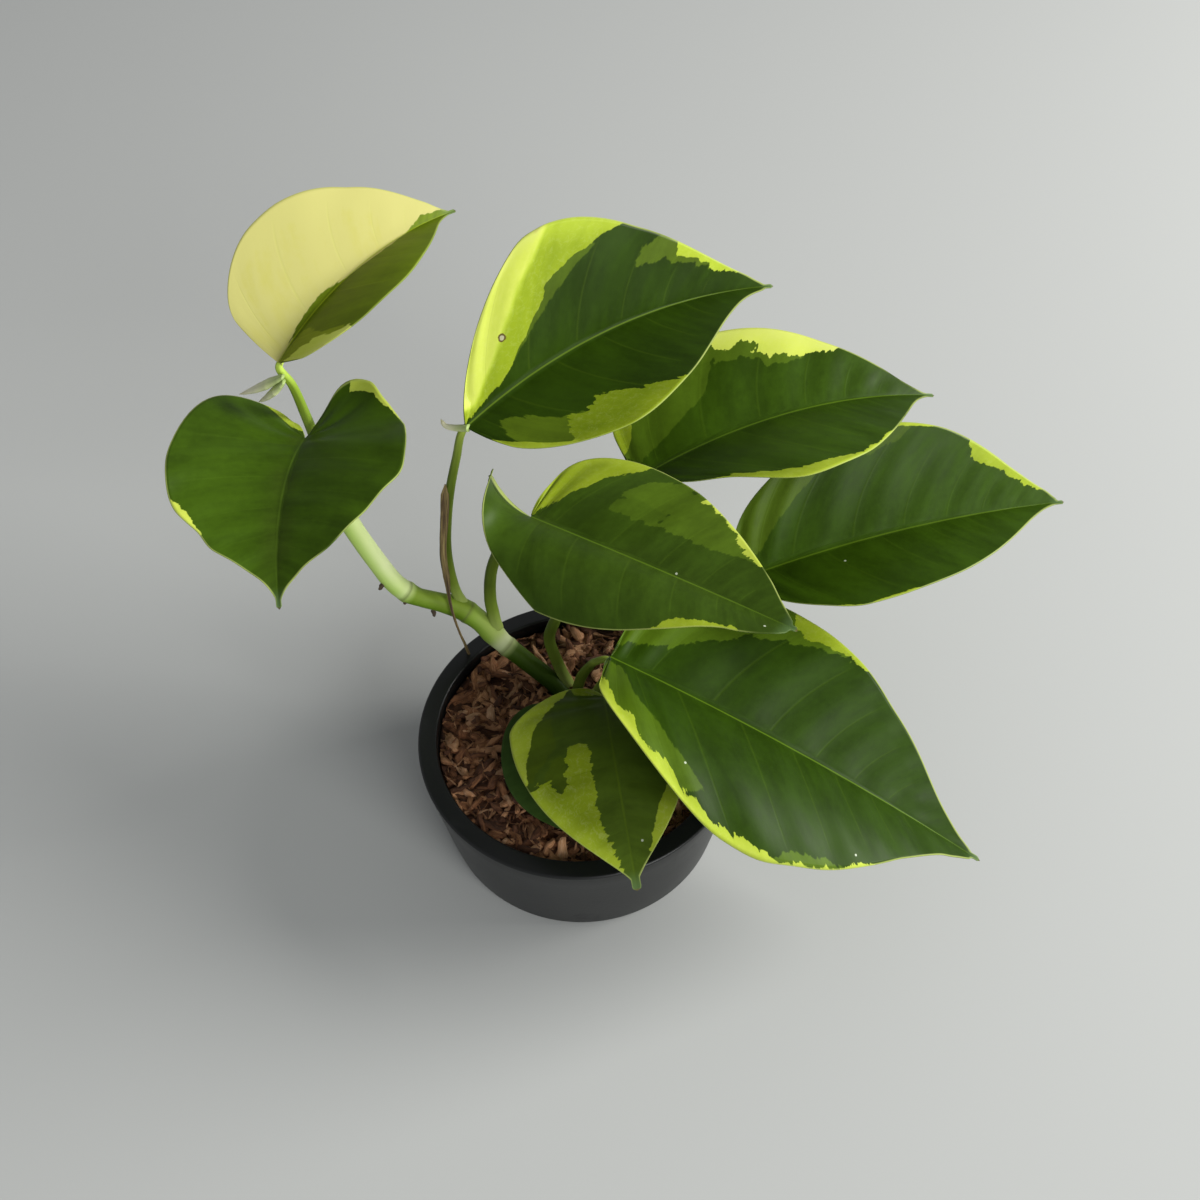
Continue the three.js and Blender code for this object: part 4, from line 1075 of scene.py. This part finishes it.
def make_stem(material):
    knots = [p for p, _ in STEM]
    path = smooth_path(knots, 220)
    line, shares = smooth_path(knots, 400)
    places = [shares[np.argmin(np.linalg.norm(line - np.array(p), axis=1))] for p in knots]
    radius = np.interp(path[1], places, [r for _, r in STEM])
    radius = radius + 0.28 * near(path[1], STEM_NODES, 0.008)
    across, up = carried_frames(path[0])
    lit_across, lit_up = across @ STEM_LIT_SIDE, up @ STEM_LIT_SIDE

    def ridged(share, turn):
        return 1 + 0.018 * np.sin(5 * turn + 3 * share) + 0.012 * np.sin(11 * turn + 20 * share)

    # painted shade: how far each point faces the lit side; the finish darkens the side turned away
    def upper(share, turn):
        return np.cos(turn) * lit_across[:, None] + np.sin(turn) * lit_up[:, None]

    def scar(share, turn):
        return near(share, [p + 0.006 for p in STEM_NODES], 0.0035)

    def pale(share, turn):
        return near(share, [0.32], 0.018) * 0.8 + near(share, [0.61], 0.012) * 0.3

    numbers = dict(upper=upper, scar=scar, pale=pale)
    stem = make_bar("stem_bar", path, radius, material, 28, ridged, numbers)
    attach(stem, "root")
    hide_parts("stem")


def make_nubs(material):
    curl = np.array([0.15, 0.1, 0.3])

    def lumpy(share, turn):
        return 1 + 0.18 * np.sin(3 * turn + 9 * share)

    for i, (root, lean) in enumerate(ROOT_NUBS):
        lean = np.array(lean) / np.linalg.norm(lean)
        root = np.array(root, float)
        reaches = [(-1.2, 0.0), (0.3, 0.0), (0.9, 0.4), (1.5, 0.6)]
        path = smooth_path([root + lean * out + curl * bend for out, bend in reaches], 14)
        radius = np.interp(path[1], [0, 0.4, 0.8, 1], [0.95, 0.85, 0.6, 0.3])
        nub = make_bar(f"root_nub_{i + 1}", path, radius, material, 10, lumpy)
        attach(nub, "root")


def make_petiole(name, material):
    """A stalk along its path and on under the base of its blade, where it thins out in the midrib."""
    leaf_name, base_radius, path = PETIOLES[name]
    leaf = LEAVES[leaf_name]
    along, _, normal = (v[0] for v in midrib_frame(leaf, np.array([0]), np.array([0.0])))
    base = np.array(leaf["base"], float)
    knots = [np.array(p, float) for p in path]
    if leaf_name in BENT_NECKS:
        knots.append(base - 3.6 * along - 4.6 * normal)
    knots.append(base - 1.0 * along - 1.7 * normal)
    knots.append(base + 1.6 * along - 0.9 * normal)
    knots.append(base + 7.0 * along - 0.75 * normal)
    line = smooth_path(knots, 110)
    length = np.linalg.norm(np.diff(np.array(knots), axis=0), axis=1).sum()
    neck = 1 - 9.0 / length
    places = [0, 0.05, 0.5, neck - 0.03, neck, 1]
    sizes = [base_radius * 1.25, base_radius * 1.05, base_radius * 0.9,
             PETIOLE_END_RADIUS * 1.1, PETIOLE_END_RADIUS * 1.05, 0.3]

    def channelled(share, turn):
        return 1 - 0.12 * np.exp(-(((turn - np.pi / 2) / 0.5) ** 2)) + 0.02 * np.sin(7 * turn)

    radius = np.interp(line[1], places, sizes)
    made = make_bar(name + "_stalk", line, radius, material, 20, channelled)
    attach(made, "root")
    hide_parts(name)


def make_leaf_tail(material):
    line = smooth_path(LEAF_TAIL, 40)
    radius = np.interp(line[1], [0, 0.9, 1], [LEAF_TAIL_RADIUS[0], LEAF_TAIL_RADIUS[1], 0.15])

    def grooved(share, turn):
        return 1 + 0.12 * np.cos(2 * turn + 3 * share)

    tail = make_bar("leaf_3_tail", line, radius, material, 14, grooved)
    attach(tail, "root")


def make_dry_sheath(material):
    line = smooth_path(DRY_SHEATH, 160)
    places = [0, 0.05, 0.3, 0.5, 0.6, 0.75, 1]
    radius = np.interp(line[1], places, [0.15, 0.9, 1.2, 1.3, 0.7, 0.55, 0.5])

    def folded(share, turn):
        return (1 + 0.45 * np.cos(2 * turn + 5 * share)) * (1 + 0.2 * np.sin(5 * turn + 14 * share))

    made = make_bar("dry_sheath_strip", line, radius, material, 18, folded)
    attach(made, "root")
    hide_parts("dry_sheath")


def make_tip_sheath(material):
    def flattened(share, turn):
        return 1 / np.sqrt((np.cos(turn)) ** 2 + (np.sin(turn) / 0.42) ** 2) + 0.04 * np.sin(4 * turn)

    parts = []
    for i, (root, tip) in enumerate(TIP_SHEATH):
        root, tip = np.array(root, float), np.array(tip, float)
        sag = np.array([0, 0, -0.9 - 0.5 * i]) * 0.4
        knots = [root, root * 0.65 + tip * 0.35 + sag, root * 0.3 + tip * 0.7 + sag, tip]
        line = smooth_path(knots, 60)
        radius = np.interp(line[1], [0, 0.1, 0.35, 0.6, 0.85, 1], [1.2, 1.9, 2.7, 2.2, 1.1, 0.12])
        parts.append(make_bar(f"tip_sheath_{i + 1}", line, radius, material, 24, flattened))
    for part in parts:
        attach(part, "root")
    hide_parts("tip_sheath")


def make_lathe(name, profile, material, sides):
    """A closed turned solid from a profile of [radius, height] in millimetres that starts and ends on
    the axis."""
    turn = 2 * np.pi * np.arange(sides) / sides
    radius, height = np.array(profile[1:-1], float).T[..., None]
    rings = np.stack([radius * np.cos(turn), radius * np.sin(turn), height + 0 * turn], -1)
    faces = ring_faces(np.arange(radius.size * sides).reshape(-1, sides))
    ends = [(0, 0, profile[0][1]), (0, 0, profile[-1][1])]
    return new_mesh(name, np.vstack([rings.reshape(-1, 3), ends]), faces, material)


def arc(centre, radius, start, end, steps):
    """Points of a round stretch of a profile, with its turns in degrees."""
    turns = np.radians(np.linspace(start, end, steps + 1))
    return [(centre[0] + radius * math.cos(a), centre[1] + radius * math.sin(a)) for a in turns]


def outer_at(z):
    """The pot's outer radius at a height."""
    return BASE_RADIUS + (RIM_RADIUS - BASE_RADIUS) * z / POT_HEIGHT


def make_pot(material):
    inner = RIM_RADIUS - LIP_WIDTH
    under = POT_HEIGHT - LIP_DEPTH
    profile = [
        (0, 0), (BASE_RADIUS - FOOT_ROUND - 0.6, 0),
        *arc((BASE_RADIUS - FOOT_ROUND, FOOT_ROUND), FOOT_ROUND, -90, -4, 8),
        (outer_at(14), 14), (outer_at(30), 30), (outer_at(44), 44),
        *arc((RIM_RADIUS - EDGE_ROUND, POT_HEIGHT - EDGE_ROUND), EDGE_ROUND, 0, 90, 6),
        (inner + 3.0, POT_HEIGHT - 0.12),
        *arc((inner + EDGE_ROUND, POT_HEIGHT - EDGE_ROUND - 0.1), EDGE_ROUND, 90, 180, 5),
        (inner, under), (outer_at(under - 3) - POT_WALL, under - 3),
        (outer_at(POT_FLOOR) - POT_WALL, POT_FLOOR), (0, POT_FLOOR),
    ]
    pot = make_lathe("pot_body", profile, material, 160)
    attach(pot, "root")
    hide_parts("pot")


def make_bed(material):
    """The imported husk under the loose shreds, closed down to the pot's floor."""
    reach = RIM_RADIUS - LIP_WIDTH - 0.5
    floor = POT_FLOOR + 0.4
    wall_gap = POT_WALL + 0.7
    top = MEDIUM_TOP - 0.5
    profile = [(0, floor), (outer_at(POT_FLOOR) - wall_gap, floor),
               (outer_at(43) - wall_gap, 42.6), (reach, MEDIUM_TOP)]
    shares = [1 - i / BED_RINGS for i in range(BED_RINGS)]
    profile += [(reach * share, top + share**4) for share in shares]
    profile.append((0, top))
    bed = make_lathe("husk_bed", profile, material, 96)
    for vertex in bed.data.vertices:
        if vertex.co.z > BED_SIDE and Vector(vertex.co.xy).length < (reach - 1) * MM:
            vertex.co.z += noise.fractal(vertex.co * 160, 0.8, 2.0, 4) * BED_LUMPS * MM
    grain = bed.data.attributes.new("grain", "FLOAT_VECTOR", "POINT")
    grain.data.foreach_set("vector", np.ravel([v.co[:] for v in bed.data.vertices]) / MM)
    # painted shade: the bed, seen in the gaps between the shreds, gets a near-darkest husk tone
    shade = bed.data.attributes.new("shade", "FLOAT", "POINT")
    shade.data.foreach_set("value", np.full(len(bed.data.vertices), 0.05))
    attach(bed, "root")
    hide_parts("medium")
    return bed


# Husk shreds
class Tree(Graph):
    """A Geometry Nodes tree, written like a material."""

    def __init__(self, name, inputs):
        self.tree = bpy.data.node_groups.new(name, "GeometryNodeTree")
        self.tree.interface.new_socket("Geometry", in_out="OUTPUT", socket_type="NodeSocketGeometry")
        self.sockets = {}
        for title, kind in inputs.items():
            made = self.tree.interface.new_socket(title, in_out="INPUT", socket_type="NodeSocket" + kind)
            self.sockets[title] = made.identifier
        self.group_input = self.tree.nodes.new("NodeGroupInput")

    def input(self, title):
        return Value(self, self.group_input.outputs[title])

    def random(self, low, high, seed, kind="FLOAT"):
        lowest, output = {"FLOAT": (2, 1), "FLOAT_VECTOR": (0, 0)}[kind]
        values = [(lowest, low), (lowest + 1, high), ("Seed", seed)]
        return self.node("FunctionNodeRandomValue", dict(data_type=kind), values, output)

    def vector_maths(self, operation, *operands, output=0):
        return self.node("ShaderNodeVectorMath", dict(operation=operation), enumerate(operands), output)

    def split(self, vector):
        made = self.node("ShaderNodeSeparateXYZ", values=[(0, vector)])
        return [Value(self, socket) for socket in made.socket.node.outputs]

    def store(self, geometry, title, kind, value, domain="POINT"):
        settings = dict(data_type=kind, domain=domain)
        return self.node("GeometryNodeStoreNamedAttribute", settings,
                         dict(Geometry=geometry, Name=title, Value=value))

    def close(self, geometry):
        out = self.tree.nodes.new("NodeGroupOutput")
        self.tree.links.new(geometry.socket, out.inputs["Geometry"])


def shred_tree():
    """Shreds of husk strewn over the bed: boxes drawn out to a fibrous shape and roughened."""
    t = Tree("husk shreds", {
        "Geometry": "Geometry", "Count per square metre": "Float", "Longest": "Float",
        "Broadest": "Float", "Thickest": "Float", "Tilt": "Float", "Reach": "Float",
        "Material": "Material", "Seed": "Int",
    })
    seed = t.input("Seed")
    spots = t.node("GeometryNodeDistributePointsOnFaces", dict(distribute_method="RANDOM"), dict(
        Mesh=t.input("Geometry"), Density=t.input("Count per square metre"), Seed=seed))
    box = t.node("GeometryNodeMeshCube", values={
        "Size": (1, 1, 1), "Vertices X": 9, "Vertices Y": 4, "Vertices Z": 4})
    place = t.node("GeometryNodeInputPosition")
    x, y, z = t.split(place)
    taper = 1.0 - x * x * 2.4
    shape = t.vector(x, y * taper * (1.0 - z * z * 1.2), z * taper * (1.0 - y * y * 1.2))
    box = t.node("GeometryNodeSetPosition", values=dict(Geometry=box, Position=shape))
    box = t.store(box, "grain", "FLOAT_VECTOR", t.vector_maths("MULTIPLY", place, (9.0, 3.0, 2.0)))
    tilt = t.input("Tilt")
    lean = t.random(t.vector(tilt * -1.0, tilt * -1.0, -3.1416), t.vector(tilt, tilt, 3.1416), seed + 1,
                    "FLOAT_VECTOR")
    longest, broadest, thickest = (t.input(n) for n in ("Longest", "Broadest", "Thickest"))
    size = t.random(t.vector(longest * 0.35, broadest * 0.35, thickest * 0.4),
                    t.vector(longest, broadest, thickest), seed + 2, "FLOAT_VECTOR")
    laid = t.node("GeometryNodeInstanceOnPoints", values=dict(
        Points=spots, Instance=box, Rotation=lean, Scale=size))
    laid = t.store(laid, "shade", "FLOAT", t.random(0.0, 1.0, seed + 3), "INSTANCE")
    laid = t.store(laid, "turned", "FLOAT", t.random(0.0, 60.0, seed + 4), "INSTANCE")
    lift = t.vector(0.0, 0.0, t.random(-0.0006, 0.0012, seed + 5))
    laid = t.node("GeometryNodeTranslateInstances", values=dict(
        Instances=laid, Translation=lift, **{"Local Space": False}))
    real = t.node("GeometryNodeRealizeInstances", values=dict(Geometry=laid))
    turned = t.node("GeometryNodeInputNamedAttribute", dict(data_type="FLOAT"), dict(Name="turned"))
    own = t.vector_maths("ADD", place, t.vector(turned, turned * 0.7, turned * 1.3))
    wander = dict(Vector=own, Scale=260.0, Detail=3.0)
    rough = t.node("ShaderNodeTexNoise", values=wander, output="Color")
    rough = t.vector_maths("SUBTRACT", rough, (0.5, 0.5, 0.5))
    real = t.node("GeometryNodeSetPosition", values=dict(
        Geometry=real, Offset=t.vector_maths("MULTIPLY", rough, (0.0042, 0.0042, 0.0034))))
    x, y, z = t.split(place)
    out = t.node("ShaderNodeMath", dict(operation="MINIMUM"), [
        (0, t.input("Reach") / ((x * x + y * y) ** 0.5 + 1e-6)), (1, 1.0)])
    real = t.node("GeometryNodeSetPosition", values=dict(
        Geometry=real, Position=t.vector(x * out, y * out, z)))
    real = t.node("GeometryNodeSetShadeSmooth", values={"Geometry": real, "Shade Smooth": True})
    real = t.node("GeometryNodeSetMaterial", values=dict(Geometry=real, Material=t.input("Material")))
    t.close(real)
    return t.tree, t.sockets


def strew_shreds(bed, name, material, count, longest, broadest, thickest, tilt, seed):
    """Shreds over the top of the bed as a plain mesh of its own."""
    top = bpy.data.meshes.new(name + "_ground")
    raised = [p for p in bed.data.polygons if p.normal.z > 0.5 and p.center.z > BED_SIDE]
    top.from_pydata([v.co[:] for v in bed.data.vertices], [], [list(p.vertices) for p in raised])
    ground = bpy.data.objects.new(name + "_ground", top)
    bpy.context.scene.collection.objects.link(ground)
    tree, sockets = shred_tree()
    modifier = ground.modifiers.new("shreds", "NODES")
    modifier.node_group = tree
    area = math.pi * (MEDIUM_REACH * MM) ** 2
    settings = {
        "Count per square metre": count / area, "Longest": longest * MM, "Broadest": broadest * MM,
        "Thickest": thickest * MM, "Tilt": tilt, "Reach": MEDIUM_REACH * MM, "Material": material,
        "Seed": seed,
    }
    for title, value in settings.items():
        modifier[sockets[title]] = value
    view = bpy.context.evaluated_depsgraph_get()
    mesh = bpy.data.meshes.new_from_object(ground.evaluated_get(view), depsgraph=view)
    mesh.name = name
    ground.modifiers.remove(modifier)
    bpy.data.objects.remove(ground)
    made = bpy.data.objects.new(name, mesh)
    bpy.context.scene.collection.objects.link(made)
    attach(made, "root")


# Studio
def add_camera():
    down = Vector((0, math.cos(CAMERA_DOWN), -math.sin(CAMERA_DOWN)))
    level, up = Vector((1, 0, 0)), Vector((0, math.sin(CAMERA_DOWN), math.cos(CAMERA_DOWN)))
    c, s = math.cos(CAMERA_ROLL), math.sin(CAMERA_ROLL)
    turned = Matrix((level * c + up * s, up * c - level * s, -down)).transposed().to_4x4()
    turned.translation = CAMERA_PLACE
    data = bpy.data.cameras.new("camera")
    data.lens = CAMERA_LENS
    data.sensor_width = CAMERA_SENSOR
    data.clip_start, data.clip_end = CAMERA_SIGHT
    camera = bpy.data.objects.new("camera", data)
    camera.matrix_world = turned
    bpy.context.scene.collection.objects.link(camera)
    bpy.context.scene.camera = camera


def add_light(name, place, size, power, colour, target=(0, 0, 0.08)):
    data = bpy.data.lights.new(name, "AREA")
    data.shape, data.size, data.energy, data.color = "DISK", size, power, colour
    light = bpy.data.objects.new(name, data)
    place = Vector(place)
    turned = (place - Vector(target)).to_track_quat("Z", "Y").to_matrix().to_4x4()
    light.matrix_world = Matrix.Translation(place) @ turned
    bpy.context.scene.collection.objects.link(light)


def add_studio():
    world = bpy.data.worlds.new("soft room")
    world.use_nodes = True
    sky = world.node_tree.nodes["Background"].inputs
    sky["Color"].default_value = (0.95, 0.97, 1.0, 1)
    sky["Strength"].default_value = 0.33
    bpy.context.scene.world = world
    add_light("window softbox", (1.9, 0.2, 1.05), 1.05, 62.0, (1.0, 0.99, 0.96))
    add_light("front fill", (1.2, -1.6, 1.0), 1.2, 27.0, (0.99, 1.0, 0.98))
    bpy.context.scene.view_settings.view_transform = "Standard"
    floor = bpy.data.meshes.new("floor")
    turns = np.linspace(0, 2 * math.pi, FLOOR_SIDES, endpoint=False)
    rim = [(FLOOR_RADIUS * math.cos(a), FLOOR_RADIUS * math.sin(a), 0) for a in turns]
    floor.from_pydata(rim, [], [list(range(FLOOR_SIDES))])
    floor.materials.append(floor_finish())
    sheet = bpy.data.objects.new("floor", floor)
    bpy.context.scene.collection.objects.link(sheet)


def build_plant():
    for name, skin in LEAF_SKINS.items():
        make_leaf(name, leaf_skin(**skin))
    make_stem(stem_skin())
    make_nubs(nub_skin())
    stalk = petiole_skin("green petiole")
    young = petiole_skin("young petiole", 2.0)
    for name in PETIOLES:
        make_petiole(name, young if name == "petiole_1" else stalk)
    make_dry_sheath(dry_skin())
    cream = tip_skin()
    make_leaf_tail(cream)
    make_tip_sheath(cream)
    make_pot(pot_plastic())
    damp = husk()
    bed = make_bed(damp)
    for name, shreds in SHREDS.items():
        strew_shreds(bed, name, damp, **shreds)


build_plant()
add_camera()
add_studio()
